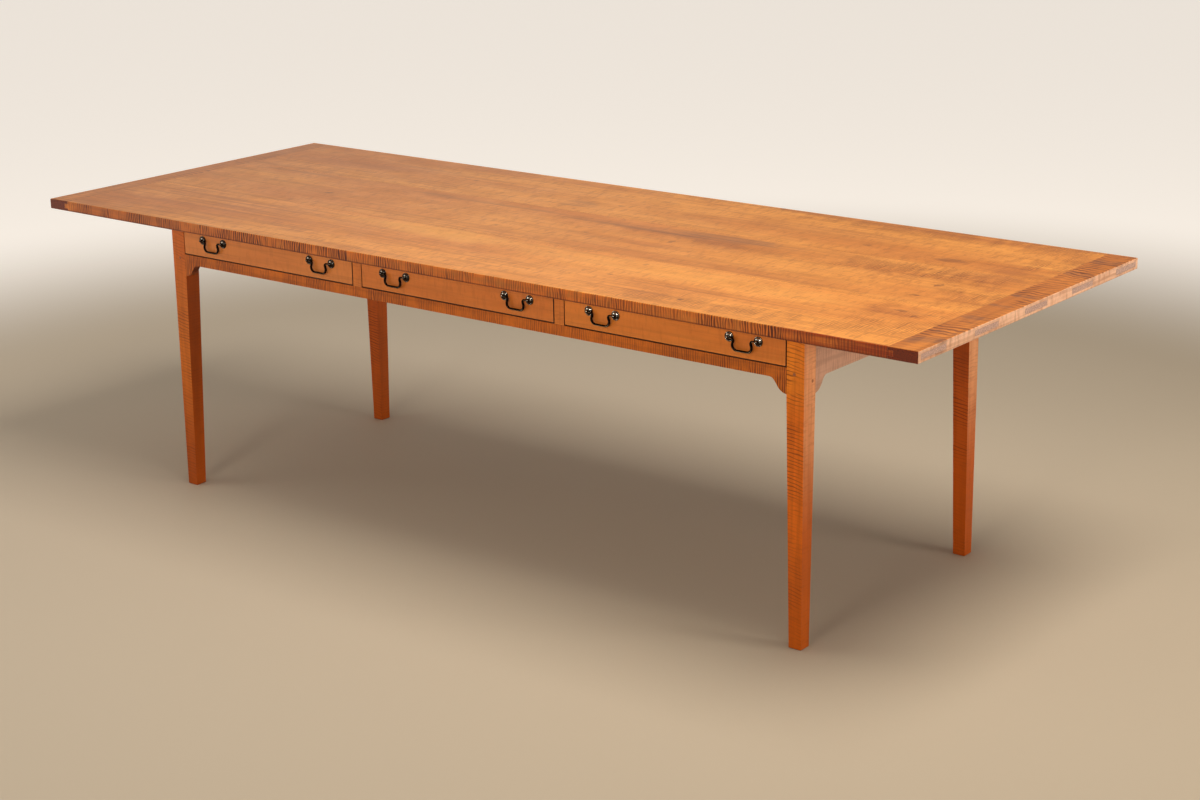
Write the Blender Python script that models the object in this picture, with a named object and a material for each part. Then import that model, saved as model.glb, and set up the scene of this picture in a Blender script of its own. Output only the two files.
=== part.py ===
"""Farmhouse dining table with breadboard ends, tapered legs and three drawers.

Metres, +Z up. The origin lies on the floor under the middle of the top. +X runs along the
table, and -Y is the side that the drawers open to.
"""
from math import asin, copysign, cos, pi, radians, sin

import bmesh
import bpy
from mathutils import Vector
from mathutils.geometry import interpolate_bezier

# Clearance between pieces that touch, how far a cutter reaches past the wood, and when points merge
GAP = 0.0003
OVERSHOOT = 0.010
MERGE_DISTANCE = 0.00003

# Overall sizes
TABLE_HEIGHT = 0.762
TOP_LENGTH = 2.645
TOP_WIDTH = 0.989
TOP_THICKNESS = 0.0265
END_OVERHANG = 0.3405
SIDE_OVERHANG = 0.1155

# Top: breadboard ends held by a tongue and through tenons
BOARD_NAMES = ("front", "middle", "back")
BREADBOARD_WIDTH = 0.070
TOP_EDGE_EASE = 0.002
EASE_SEGMENTS = 2
EASE_ROUND_SHARE = 0.5
TONGUE_THICKNESS = 0.0122
TONGUE_LENGTH = 0.0125
TENON_WIDTH = 0.100
TENON_EDGE_MARGIN = 0.0105
TENON_SEAM_MARGIN = 0.002

# Legs: plumb outside, tapered on the two inner faces
LEG_SIZE = 0.0445
FOOT_SIZE = 0.032
FOOT_EASE = 0.002
TAPER_START_BELOW_BRACKET = 0.003

# Aprons, rails and their ogee brackets
APRON_HEIGHT = 0.1225
RAIL_THICKNESS = 0.022
LOWER_RAIL_HEIGHT = 0.026
TOP_RAIL_HEIGHT = 0.019
DIVIDER_WIDTH = 0.028
BRACKET_REACH = 0.044
BRACKET_DROP = 0.033
OGEE_COVE_SHARE = 0.42
OGEE_NOSE_SHARE = 0.62
OGEE_NOSE_RISE = 0.003
OGEE_STEPS = 8

# Mortise and tenon joints
LEG_TENON_THICKNESS = 0.010
LEG_TENON_SETBACK = 0.006
LEG_TENON_WALL = 0.0035
RAIL_TENON_SHOULDER = 0.004
APRON_TENON_SHOULDER = 0.012
BRACKET_TENON_SHOULDER = 0.016
TENON_ROOT = 0.010
STUB_LENGTH = 0.006
STUB_SHOULDER = 0.005
DIVIDER_STUB_SETBACK = 0.005
DIVIDER_STUB_WALL = 0.004

# Runners under the drawers and kickers above them
BEARING_WIDTH = 0.018
RUNNER_THICKNESS = 0.020
GUIDE_HEIGHT = 0.018
STOP_LENGTH = 0.025
KICKER_TOP_CLEARANCE = 0.001

# Drawers
DRAWER_NAMES = ("left", "middle", "right")
DIVIDER_NAMES = ("left", "right")
DRAWER_LENGTH = 0.500
FRONT_THICKNESS = 0.020
SIDE_THICKNESS = 0.012
BACK_THICKNESS = 0.012
BOTTOM_THICKNESS = 0.006
BOTTOM_RISE = 0.010
GROOVE_DEPTH = 0.006
REVEAL = 0.0024
SIDE_TOP_CLEARANCE = 0.003
BACK_DROP = 0.006
DOVETAIL_LAP = 0.006
TAIL_COUNT = 2
TAIL_SLOPE = 1 / 6
PIN_WIDTH = 0.006

# Pulls: turned posts and swan-neck bails
PULL_OFFSET = 0.1925
POST_SPACING = 0.076
POST_HEIGHT = 0.046
HEAD_RADIUS = 0.0044
HEAD_STANDOFF = 0.0075
NECK_RADIUS = 0.0034
ROSETTE_RADIUS = 0.0113
ROSETTE_HEIGHT = 0.0045
ROSETTE_RIM = 0.0014
SHANK_RADIUS = 0.0024
SHANK_PROJECTION = 0.002
NUT_RADIUS = 0.0052
NUT_THICKNESS = 0.0035
PIVOT_HOLE_WALL = 0.0005
BAIL_DROP = 0.0265
BAIL_ARM_INSET = 0.015
BAIL_ARM_RADIUS = 0.0031
BAIL_BAR_RADIUS = 0.0026
BAIL_PIVOT_RADIUS = 0.0019
BAIL_SHOULDER_BEND = 0.0045
BAIL_SWAN_BEND = 0.014
BAIL_FLARE = radians(24)
SHOULDER_STEPS = 3
SWAN_STEPS = 2
CORNER_STEPS = 5
WIRE_SEGMENTS = 2
TURNED_SIDES = 12
HEAD_STEPS = 4
DOME_STEPS = 3
SHARP_ANGLE = radians(40)

# Levels and faces worked out from the sizes above
TOP_UNDERSIDE = TABLE_HEIGHT - TOP_THICKNESS
FRAME_TOP = TOP_UNDERSIDE - GAP
APRON_BOTTOM = TOP_UNDERSIDE - APRON_HEIGHT
BRACKET_TIP = APRON_BOTTOM - BRACKET_DROP
OPENING_BOTTOM = APRON_BOTTOM + LOWER_RAIL_HEIGHT
OPENING_TOP = FRAME_TOP - TOP_RAIL_HEIGHT
OPENING_HEIGHT = OPENING_TOP - OPENING_BOTTOM
LEG_FACE_X = TOP_LENGTH / 2 - END_OVERHANG
LEG_FACE_Y = TOP_WIDTH / 2 - SIDE_OVERHANG
LEG_INNER_X = LEG_FACE_X - LEG_SIZE
LEG_INNER_Y = LEG_FACE_Y - LEG_SIZE
RAIL_INNER_X = LEG_FACE_X - RAIL_THICKNESS
RAIL_INNER_Y = LEG_FACE_Y - RAIL_THICKNESS
LEG_TENON_LENGTH = LEG_SIZE - LEG_TENON_SETBACK - LEG_TENON_THICKNESS - LEG_TENON_WALL
DIVIDER_COUNT = len(DIVIDER_NAMES)
OPENING_WIDTH = (2 * LEG_INNER_X - DIVIDER_COUNT * DIVIDER_WIDTH) / len(DRAWER_NAMES)
OPENING_PITCH = OPENING_WIDTH + DIVIDER_WIDTH
DRAWER_HALF_WIDTH = OPENING_WIDTH / 2 - REVEAL
DRAWER_INNER_X = DRAWER_HALF_WIDTH - SIDE_THICKNESS
DRAWER_SIDE_TOP = OPENING_HEIGHT - SIDE_TOP_CLEARANCE
PANEL_LOW = REVEAL + BOTTOM_RISE
PANEL_HIGH = PANEL_LOW + BOTTOM_THICKNESS
RUNNER_TOP = OPENING_BOTTOM + REVEAL - GAP
KICKER_THICKNESS = TOP_RAIL_HEIGHT - KICKER_TOP_CLEARANCE
BEARER_HALF_WIDTH = DIVIDER_WIDTH / 2 + BEARING_WIDTH
PIVOT_HOLE_RADIUS = (BAIL_PIVOT_RADIUS + GAP) / cos(pi / TURNED_SIDES)
SHANK_HOLE_RADIUS = (SHANK_RADIUS + GAP) / cos(pi / TURNED_SIDES)


def clear_scene():
    """Start from an empty scene."""
    for item in list(bpy.data.objects):
        bpy.data.objects.remove(item)


def finish_material(name, colour, roughness, metallic=0.0):
    """A plain finish with the colour that the piece shows."""
    material = bpy.data.materials.new(name)
    material.use_nodes = True
    shader = material.node_tree.nodes["Principled BSDF"]
    shader.inputs["Base Color"].default_value = (*colour, 1.0)
    shader.inputs["Roughness"].default_value = roughness
    shader.inputs["Metallic"].default_value = metallic
    return material


def mesh_from(shape):
    """Turn an edited shape into a mesh with its faces pointing out."""
    bmesh.ops.recalc_face_normals(shape, faces=shape.faces)
    mesh = bpy.data.meshes.new("shape")
    shape.to_mesh(mesh)
    shape.free()
    return mesh


def box_shape(corner, opposite):
    """A box between two opposite corners, given in any order."""
    shape = bmesh.new()
    bmesh.ops.create_cube(shape, size=1.0)
    size = [abs(b - a) for a, b in zip(corner, opposite)]
    middle = [(a + b) / 2 for a, b in zip(corner, opposite)]
    bmesh.ops.scale(shape, vec=size, verts=shape.verts)
    bmesh.ops.translate(shape, vec=middle, verts=shape.verts)
    return shape


def box(corner, opposite):
    """The same box as a finished mesh."""
    return mesh_from(box_shape(corner, opposite))


def prism(outline, axis, start, end):
    """Extrude a flat outline along X, Y or Z; its points hold the other two coordinates."""
    place_point = {
        "X": lambda u, v, w: (w, u, v),
        "Y": lambda u, v, w: (u, w, v),
        "Z": lambda u, v, w: (u, v, w),
    }[axis]
    shape = bmesh.new()
    face = shape.faces.new([shape.verts.new(place_point(u, v, start)) for u, v in outline])
    grown = bmesh.ops.extrude_face_region(shape, geom=[face])["geom"]
    moved = [item for item in grown if isinstance(item, bmesh.types.BMVert)]
    bmesh.ops.translate(shape, vec=place_point(0.0, 0.0, end - start), verts=moved)
    return mesh_from(shape)


def rod(centre, radius, axis, start, end):
    """A round bar along X or Y, used to drill holes."""
    angles = [2 * pi * step / TURNED_SIDES for step in range(TURNED_SIDES)]
    outline = [(centre[0] + radius * cos(a), centre[1] + radius * sin(a)) for a in angles]
    return prism(outline, axis, start, end)


def combine(mesh, others, operation):
    """Join other meshes to one, or take them away from it."""
    piece = bpy.data.objects.new("piece", mesh)
    bpy.context.collection.objects.link(piece)
    helpers = []
    for other in others:
        helper = bpy.data.objects.new("helper", other)
        bpy.context.collection.objects.link(helper)
        modifier = piece.modifiers.new("combine", "BOOLEAN")
        modifier.operation = operation
        modifier.solver = "EXACT"
        modifier.object = helper
        helpers.append(helper)
    view = bpy.context.evaluated_depsgraph_get()
    result = bpy.data.meshes.new_from_object(piece.evaluated_get(view))
    for item in (piece, *helpers):
        bpy.data.objects.remove(item)
    return result


def carve(mesh, cutters):
    """Take the cutters away from a mesh."""
    return combine(mesh, cutters, "DIFFERENCE")


def fuse(mesh, additions):
    """Join the additions to a mesh."""
    return combine(mesh, additions, "UNION")


def place(name, data, material, parent=None, location=(0.0, 0.0, 0.0), turn=0.0):
    """Put a piece in the scene under its own name, turned about Y if need be."""
    data.materials.clear()
    data.materials.append(material)
    piece = bpy.data.objects.new(name, data)
    bpy.context.collection.objects.link(piece)
    piece.parent = parent
    piece.location = location
    piece.rotation_euler = (0.0, turn, 0.0)
    return piece


# Top

def seam_position(index):
    """Place of a joint line across the top, counted from the front edge."""
    return -TOP_WIDTH / 2 + index * TOP_WIDTH / len(BOARD_NAMES)


def board_tenons(index):
    """Low and high Y of the through tenons on one top board."""
    front = seam_position(index)
    back = seam_position(index + 1)
    if index == 0:
        outer = front + TENON_EDGE_MARGIN
        inner = back - TENON_SEAM_MARGIN - TENON_WIDTH
        return [(outer, outer + TENON_WIDTH), (inner, inner + TENON_WIDTH)]
    if index == len(BOARD_NAMES) - 1:
        inner = front + TENON_SEAM_MARGIN
        outer = back - TENON_EDGE_MARGIN - TENON_WIDTH
        return [(inner, inner + TENON_WIDTH), (outer, outer + TENON_WIDTH)]
    middle = (front + back) / 2
    return [(middle - TENON_WIDTH / 2, middle + TENON_WIDTH / 2)]


def eased_plank(corner, opposite, eased_sides):
    """A plank with its upper and lower arrises rounded on the sides named as (axis, place)."""
    shape = box_shape(corner, opposite)
    arrises = []
    for edge in shape.edges:
        ends = [vert.co for vert in edge.verts]
        level = abs(ends[0].z - ends[1].z) < GAP
        on_side = any(all(abs(end[axis] - at) < GAP for end in ends) for axis, at in eased_sides)
        if level and on_side:
            arrises.append(edge)
    bmesh.ops.bevel(
        shape, geom=arrises, offset=TOP_EDGE_EASE, segments=EASE_SEGMENTS, profile=EASE_ROUND_SHARE,
        affect="EDGES",
    )
    return mesh_from(shape)


def tongue_levels(clearance=0.0):
    """Lower and upper level of the tongue, the tenons and the groove that takes them."""
    middle = TABLE_HEIGHT - TOP_THICKNESS / 2
    half = TONGUE_THICKNESS / 2 + clearance
    return middle - half, middle + half


def top_board(index):
    """One board of the top, with a tongue and through tenons on both ends."""
    half_length = TOP_LENGTH / 2
    shoulder = half_length - BREADBOARD_WIDTH
    first = index == 0
    last = index == len(BOARD_NAMES) - 1
    front = seam_position(index) + (0.0 if first else GAP / 2)
    back = seam_position(index + 1) - (0.0 if last else GAP / 2)
    eased = []
    if first:
        eased.append((1, front))
    if last:
        eased.append((1, back))
    low, high = tongue_levels()
    board = eased_plank((-half_length, front, TOP_UNDERSIDE), (half_length, back, TABLE_HEIGHT), eased)
    edges = [front - OVERSHOOT]
    for tenon in board_tenons(index):
        edges.extend(tenon)
    edges.append(back + OVERSHOOT)
    cutters = []
    for side in (-1, 1):
        end = side * (half_length + OVERSHOOT)
        for inner, outer in ((low, TOP_UNDERSIDE - OVERSHOOT), (high, TABLE_HEIGHT + OVERSHOOT)):
            cutters.append(box((side * shoulder, edges[0], inner), (end, edges[-1], outer)))
        waste_start = side * (shoulder + TONGUE_LENGTH)
        for waste_low, waste_high in zip(edges[0::2], edges[1::2]):
            cutters.append(box(
                (waste_start, waste_low, TOP_UNDERSIDE - OVERSHOOT),
                (end, waste_high, TABLE_HEIGHT + OVERSHOOT),
            ))
    return carve(board, cutters)


def breadboard_end(side):
    """The cross board on one end, grooved for the tongue and mortised through for the tenons."""
    half_width = TOP_WIDTH / 2
    outer = TOP_LENGTH / 2
    shoulder = outer - BREADBOARD_WIDTH
    groove_floor = shoulder + TONGUE_LENGTH + GAP
    mouth = shoulder - OVERSHOOT
    through = outer + OVERSHOOT
    board = eased_plank(
        (side * (shoulder + GAP), -half_width, TOP_UNDERSIDE),
        (side * outer, half_width, TABLE_HEIGHT),
        [(0, side * outer), (1, -half_width), (1, half_width)],
    )
    outline = [(mouth, -half_width - OVERSHOOT), (groove_floor, -half_width - OVERSHOOT)]
    for index in range(len(BOARD_NAMES)):
        for low, high in board_tenons(index):
            outline += [(groove_floor, low - GAP), (through, low - GAP)]
            outline += [(through, high + GAP), (groove_floor, high + GAP)]
    outline += [(groove_floor, half_width + OVERSHOOT), (mouth, half_width + OVERSHOOT)]
    outline = [(side * x, y) for x, y in outline]
    return carve(board, [prism(outline, "Z", *tongue_levels(GAP))])


def build_top(materials):
    for index, name in enumerate(BOARD_NAMES):
        place(f"top_board_{name}", top_board(index), materials["top"])
    for side, name in ((-1, "left"), (1, "right")):
        place(f"breadboard_end_{name}", breadboard_end(side), materials["breadboard"])


# Joints between the rails and the legs

def long_tenon(side_x, side_y, levels, clearance=0.0):
    """Tenon of a rail that runs along X, or its mortise when grown by a clearance."""
    outer = LEG_FACE_Y - LEG_TENON_SETBACK + clearance
    inner = LEG_FACE_Y - LEG_TENON_SETBACK - LEG_TENON_THICKNESS - clearance
    return box(
        (side_x * (LEG_INNER_X - TENON_ROOT), side_y * inner, levels[0] - clearance),
        (side_x * (LEG_INNER_X + LEG_TENON_LENGTH + clearance), side_y * outer, levels[1] + clearance),
    )


def cross_tenon(side_x, side_y, levels, clearance=0.0):
    """Tenon of an end apron, which runs along Y, or its mortise."""
    outer = LEG_FACE_X - LEG_TENON_SETBACK + clearance
    inner = LEG_FACE_X - LEG_TENON_SETBACK - LEG_TENON_THICKNESS - clearance
    return box(
        (side_x * inner, side_y * (LEG_INNER_Y - TENON_ROOT), levels[0] - clearance),
        (side_x * outer, side_y * (LEG_INNER_Y + LEG_TENON_LENGTH + clearance), levels[1] + clearance),
    )


APRON_TENON_LEVELS = (BRACKET_TIP + BRACKET_TENON_SHOULDER, FRAME_TOP - APRON_TENON_SHOULDER)
LOWER_RAIL_TENON_LEVELS = (BRACKET_TIP + BRACKET_TENON_SHOULDER, OPENING_BOTTOM - RAIL_TENON_SHOULDER)
TOP_RAIL_TENON_LEVELS = (OPENING_TOP + RAIL_TENON_SHOULDER, FRAME_TOP - RAIL_TENON_SHOULDER)


# Legs

def leg(side_x, side_y):
    """A leg with plumb outer faces, two tapered inner faces and an eased foot."""
    sections = (
        (0.0, FOOT_SIZE, FOOT_EASE),
        (FOOT_EASE, FOOT_SIZE, 0.0),
        (BRACKET_TIP - TAPER_START_BELOW_BRACKET, LEG_SIZE, 0.0),
        (FRAME_TOP, LEG_SIZE, 0.0),
    )
    shape = bmesh.new()
    rings = []
    for level, size, ease in sections:
        xs = (side_x * (LEG_FACE_X - size + ease), side_x * (LEG_FACE_X - ease))
        ys = (side_y * (LEG_FACE_Y - size + ease), side_y * (LEG_FACE_Y - ease))
        corners = ((xs[0], ys[0]), (xs[1], ys[0]), (xs[1], ys[1]), (xs[0], ys[1]))
        verts = [shape.verts.new((x, y, level)) for x, y in corners]
        rings.append([shape.edges.new((verts[i - 1], verts[i])) for i in range(len(verts))])
    for lower, upper in zip(rings, rings[1:]):
        bmesh.ops.bridge_loops(shape, edges=lower + upper)
    for ring in (rings[0], rings[-1]):
        bmesh.ops.contextual_create(shape, geom=ring)
    mortises = [cross_tenon(side_x, side_y, APRON_TENON_LEVELS, GAP)]
    if side_y < 0:
        mortises.append(long_tenon(side_x, side_y, LOWER_RAIL_TENON_LEVELS, GAP))
        mortises.append(long_tenon(side_x, side_y, TOP_RAIL_TENON_LEVELS, GAP))
    else:
        mortises.append(long_tenon(side_x, side_y, APRON_TENON_LEVELS, GAP))
    return carve(mesh_from(shape), mortises)


def build_legs(materials):
    for side_y, depth_name in ((-1, "front"), (1, "back")):
        for side_x, side_name in ((-1, "left"), (1, "right")):
            place(f"leg_{depth_name}_{side_name}", leg(side_x, side_y), materials["leg"])


# Aprons, rails and dividers

def bracketed_outline(half_span, high):
    """Elevation of an apron: straight above, an ogee bracket at each end below."""
    cove = Vector((half_span - BRACKET_REACH, APRON_BOTTOM))
    cove_handle = cove + Vector((BRACKET_REACH * OGEE_COVE_SHARE, 0.0))
    nose = Vector((half_span, BRACKET_TIP))
    nose_handle = nose + Vector((-BRACKET_REACH * OGEE_NOSE_SHARE, OGEE_NOSE_RISE))
    curve = interpolate_bezier(cove, cove_handle, nose_handle, nose, OGEE_STEPS + 1)
    right = [(point.x, point.y) for point in curve] + [(half_span, high)]
    left = [(-u, v) for u, v in reversed(right)]
    return right + left


def divider_places():
    """X of the middle of each drawer divider."""
    first = -DIVIDER_COUNT / 2 + 0.5
    return [(first + index) * OPENING_PITCH for index in range(DIVIDER_COUNT)]


def divider_stub(x, level, depth, clearance=0.0):
    """Stub tenon on one end of a divider; a negative depth points down."""
    half = DIVIDER_WIDTH / 2 - STUB_SHOULDER + clearance
    front = -LEG_FACE_Y + DIVIDER_STUB_SETBACK - clearance
    back = -RAIL_INNER_Y - STUB_LENGTH - DIVIDER_STUB_WALL + clearance
    reach = depth + (clearance if depth > 0 else -clearance)
    root = -TENON_ROOT if depth > 0 else TENON_ROOT
    return box((x - half, front, level + root), (x + half, back, level + reach))


def bearer_stub(x, face, depth, levels, clearance=0.0):
    """Stub tenon on one end of a runner or kicker; a negative depth points to the front."""
    half = BEARER_HALF_WIDTH - STUB_SHOULDER + clearance
    reach = depth + (clearance if depth > 0 else -clearance)
    root = -TENON_ROOT if depth > 0 else TENON_ROOT
    return box(
        (x - half, face + root, levels[0] + STUB_SHOULDER - clearance),
        (x + half, face + reach, levels[1] - STUB_SHOULDER + clearance),
    )


RUNNER_LEVELS = (RUNNER_TOP - RUNNER_THICKNESS, RUNNER_TOP)
KICKER_LEVELS = (OPENING_TOP, OPENING_TOP + KICKER_THICKNESS)


def front_lower_rail():
    """The rail under the drawers, bracketed at both ends."""
    rail = prism(
        bracketed_outline(LEG_INNER_X - GAP, OPENING_BOTTOM), "Y", -LEG_FACE_Y, -RAIL_INNER_Y,
    )
    rail = fuse(rail, [long_tenon(side, -1, LOWER_RAIL_TENON_LEVELS) for side in (-1, 1)])
    mortises = []
    for x in divider_places():
        mortises.append(divider_stub(x, OPENING_BOTTOM, -STUB_LENGTH, GAP))
        mortises.append(bearer_stub(x, -RAIL_INNER_Y, -STUB_LENGTH, RUNNER_LEVELS, GAP))
    return carve(rail, mortises)


def front_top_rail():
    """The rail above the drawers, under the overhang of the top."""
    half_span = LEG_INNER_X - GAP
    rail = box((-half_span, -LEG_FACE_Y, OPENING_TOP), (half_span, -RAIL_INNER_Y, FRAME_TOP))
    rail = fuse(rail, [long_tenon(side, -1, TOP_RAIL_TENON_LEVELS) for side in (-1, 1)])
    mortises = []
    for x in divider_places():
        mortises.append(divider_stub(x, OPENING_TOP, STUB_LENGTH, GAP))
        mortises.append(bearer_stub(x, -RAIL_INNER_Y, -STUB_LENGTH, KICKER_LEVELS, GAP))
    return carve(rail, mortises)


def divider(x):
    """The upright between two drawers, stub tenoned into both rails."""
    half = DIVIDER_WIDTH / 2
    post = box(
        (x - half, -LEG_FACE_Y, OPENING_BOTTOM + GAP), (x + half, -RAIL_INNER_Y, OPENING_TOP - GAP),
    )
    stubs = [
        divider_stub(x, OPENING_BOTTOM, -STUB_LENGTH),
        divider_stub(x, OPENING_TOP, STUB_LENGTH),
    ]
    return fuse(post, stubs)


def back_apron():
    """The plain apron along the back, bracketed at both ends."""
    apron = prism(bracketed_outline(LEG_INNER_X - GAP, FRAME_TOP), "Y", RAIL_INNER_Y, LEG_FACE_Y)
    apron = fuse(apron, [long_tenon(side, 1, APRON_TENON_LEVELS) for side in (-1, 1)])
    mortises = []
    for x in divider_places():
        for levels in (RUNNER_LEVELS, KICKER_LEVELS):
            mortises.append(bearer_stub(x, RAIL_INNER_Y, STUB_LENGTH, levels, GAP))
    return carve(apron, mortises)


def end_apron(side):
    """The apron across one end, bracketed at both ends."""
    outline = bracketed_outline(LEG_INNER_Y - GAP, FRAME_TOP)
    apron = prism(outline, "X", side * RAIL_INNER_X, side * LEG_FACE_X)
    return fuse(apron, [cross_tenon(side, side_y, APRON_TENON_LEVELS) for side_y in (-1, 1)])


def build_aprons(materials):
    place("front_lower_rail", front_lower_rail(), materials["rail"])
    place("front_top_rail", front_top_rail(), materials["rail"])
    place("back_apron", back_apron(), materials["apron"])
    for side, name in ((-1, "left"), (1, "right")):
        place(f"end_apron_{name}", end_apron(side), materials["apron"])
    for x, name in zip(divider_places(), DIVIDER_NAMES):
        place(f"divider_{name}", divider(x), materials["rail"])


# Runners and kickers

def guide_rebates(near, far, guide_low, guide_high):
    """Cutters that leave a guide strip and, behind each drawer, a stop block on a runner."""
    stop_front = -LEG_FACE_Y + DRAWER_LENGTH + GAP
    stop_back = stop_front + STOP_LENGTH
    above = RUNNER_TOP + GUIDE_HEIGHT + OVERSHOOT
    stretches = ((-LEG_FACE_Y, stop_front), (stop_back, LEG_FACE_Y))
    cutters = []
    for start, end in stretches:
        if near < guide_low:
            cutters.append(box((near - OVERSHOOT, start, RUNNER_TOP), (guide_low, end, above)))
        if far > guide_high:
            cutters.append(box((guide_high, start, RUNNER_TOP), (far + OVERSHOOT, end, above)))
    return cutters


def middle_runner(x):
    """A runner between two drawers, with a guide strip along its middle."""
    near = x - BEARER_HALF_WIDTH
    far = x + BEARER_HALF_WIDTH
    half_length = RAIL_INNER_Y - GAP
    runner = box((near, -half_length, RUNNER_LEVELS[0]), (far, half_length, RUNNER_TOP + GUIDE_HEIGHT))
    runner = carve(runner, guide_rebates(near, far, x - DIVIDER_WIDTH / 2, x + DIVIDER_WIDTH / 2))
    stubs = [
        bearer_stub(x, -RAIL_INNER_Y, -STUB_LENGTH, RUNNER_LEVELS),
        bearer_stub(x, RAIL_INNER_Y, STUB_LENGTH, RUNNER_LEVELS),
    ]
    return fuse(runner, stubs)


def end_runner(side):
    """A runner along an end apron, with its guide strip against the apron."""
    outer = RAIL_INNER_X - GAP
    inner = LEG_INNER_X - BEARING_WIDTH
    near, far = sorted((side * outer, side * inner))
    guide_low, guide_high = sorted((side * outer, side * LEG_INNER_X))
    half_length = LEG_INNER_Y - GAP
    runner = box((near, -half_length, RUNNER_LEVELS[0]), (far, half_length, RUNNER_TOP + GUIDE_HEIGHT))
    return carve(runner, guide_rebates(near, far, guide_low, guide_high))


def middle_kicker(x):
    """A strip above two drawers, stub tenoned into the top rail and the back apron."""
    half_length = RAIL_INNER_Y - GAP
    strip = box(
        (x - BEARER_HALF_WIDTH, -half_length, KICKER_LEVELS[0]),
        (x + BEARER_HALF_WIDTH, half_length, KICKER_LEVELS[1]),
    )
    stubs = [
        bearer_stub(x, -RAIL_INNER_Y, -STUB_LENGTH, KICKER_LEVELS),
        bearer_stub(x, RAIL_INNER_Y, STUB_LENGTH, KICKER_LEVELS),
    ]
    return fuse(strip, stubs)


def end_kicker(side):
    """A strip above a drawer along an end apron."""
    half_length = LEG_INNER_Y - GAP
    return box(
        (side * (LEG_INNER_X - BEARING_WIDTH), -half_length, KICKER_LEVELS[0]),
        (side * (RAIL_INNER_X - GAP), half_length, KICKER_LEVELS[1]),
    )


def build_runners(materials):
    for side, name in ((-1, "left"), (1, "right")):
        place(f"end_runner_{name}", end_runner(side), materials["inner_wood"])
        place(f"end_kicker_{name}", end_kicker(side), materials["inner_wood"])
    for x, name in zip(divider_places(), DIVIDER_NAMES):
        place(f"middle_runner_{name}", middle_runner(x), materials["inner_wood"])
        place(f"middle_kicker_{name}", middle_kicker(x), materials["inner_wood"])


# Drawers, modelled from the middle of the opening's lower front edge

def tail_spans(low, high, length):
    """For each dovetail: its low and high edge at the tip, and how much the root is narrower."""
    room = high - low - (TAIL_COUNT + 1) * PIN_WIDTH
    width = room / TAIL_COUNT
    starts = [low + PIN_WIDTH + index * (width + PIN_WIDTH) for index in range(TAIL_COUNT)]
    return [(start, start + width, length * TAIL_SLOPE) for start in starts]


FRONT_TAIL_LENGTH = FRONT_THICKNESS - DOVETAIL_LAP
FRONT_TAILS = tail_spans(REVEAL, DRAWER_SIDE_TOP, FRONT_TAIL_LENGTH)
BACK_LOW = PANEL_HIGH + GAP
BACK_HIGH = DRAWER_SIDE_TOP - BACK_DROP
BACK_FACE = DRAWER_LENGTH - BACK_THICKNESS
BACK_TAILS = tail_spans(BACK_LOW, BACK_HIGH, BACK_THICKNESS)


def tail_outline(span, root, tip, clearance=0.0):
    """One dovetail as (y, z) points, from its lower root round to its upper root."""
    low, high, flare = span
    return [
        (root, low + flare - clearance),
        (tip, low - clearance),
        (tip, high + clearance),
        (root, high - flare + clearance),
    ]


def drawer_side():
    """A drawer side lying at X = 0 and thick towards +X, tailed at both ends."""
    front_root = FRONT_THICKNESS + GAP
    back_root = BACK_FACE - GAP
    outline = [(front_root, REVEAL), (DRAWER_LENGTH, REVEAL)]
    outline += [(DRAWER_LENGTH, BACK_LOW - GAP), (back_root, BACK_LOW - GAP)]
    for span in BACK_TAILS:
        outline += tail_outline(span, back_root, DRAWER_LENGTH)
    outline += [(back_root, BACK_HIGH + GAP), (DRAWER_LENGTH, BACK_HIGH + GAP)]
    outline += [(DRAWER_LENGTH, DRAWER_SIDE_TOP), (front_root, DRAWER_SIDE_TOP)]
    for span in reversed(FRONT_TAILS):
        outline += reversed(tail_outline(span, front_root, DOVETAIL_LAP + GAP))
    return prism(outline, "X", 0.0, SIDE_THICKNESS)


def bottom_panel(clearance=0.0):
    """The drawer bottom, or the groove that holds it when grown by a clearance."""
    half = DRAWER_INNER_X + GROOVE_DEPTH + clearance
    front = FRONT_THICKNESS - GROOVE_DEPTH - clearance
    back = DRAWER_LENGTH + (OVERSHOOT if clearance else 0.0)
    return box((-half, front, PANEL_LOW - clearance), (half, back, PANEL_HIGH + clearance))


def side_in_place(side):
    """A drawer side on the left or right of the drawer, grooved for the bottom."""
    board = drawer_side()
    shift = DRAWER_INNER_X if side > 0 else -DRAWER_HALF_WIDTH
    for vertex in board.vertices:
        vertex.co.x += shift
    return carve(board, [bottom_panel(GAP)])


def tail_sockets(spans, root, tip):
    """Cutters for the tails of both sides, open at the ends of the board they enter."""
    inner = DRAWER_INNER_X - GAP
    outer = DRAWER_HALF_WIDTH + OVERSHOOT
    cutters = []
    for span in spans:
        outline = tail_outline(span, root, tip, GAP)
        for side in (-1, 1):
            cutters.append(prism(outline, "X", side * inner, side * outer))
    return cutters


def post_places():
    """X of every post on a drawer front."""
    return [pull * PULL_OFFSET + end * POST_SPACING / 2 for pull in (-1, 1) for end in (-1, 1)]


def drawer_front():
    """A drawer front with half-blind sockets, a groove for the bottom and holes for the posts."""
    board = box(
        (-DRAWER_HALF_WIDTH, 0.0, REVEAL), (DRAWER_HALF_WIDTH, FRONT_THICKNESS, OPENING_HEIGHT - REVEAL),
    )
    cutters = tail_sockets(FRONT_TAILS, FRONT_THICKNESS + GAP, DOVETAIL_LAP)
    cutters.append(bottom_panel(GAP))
    for x in post_places():
        hole = rod((x, POST_HEIGHT), SHANK_HOLE_RADIUS, "Y", -OVERSHOOT, FRONT_THICKNESS + OVERSHOOT)
        cutters.append(hole)
    return carve(board, cutters)


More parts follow.
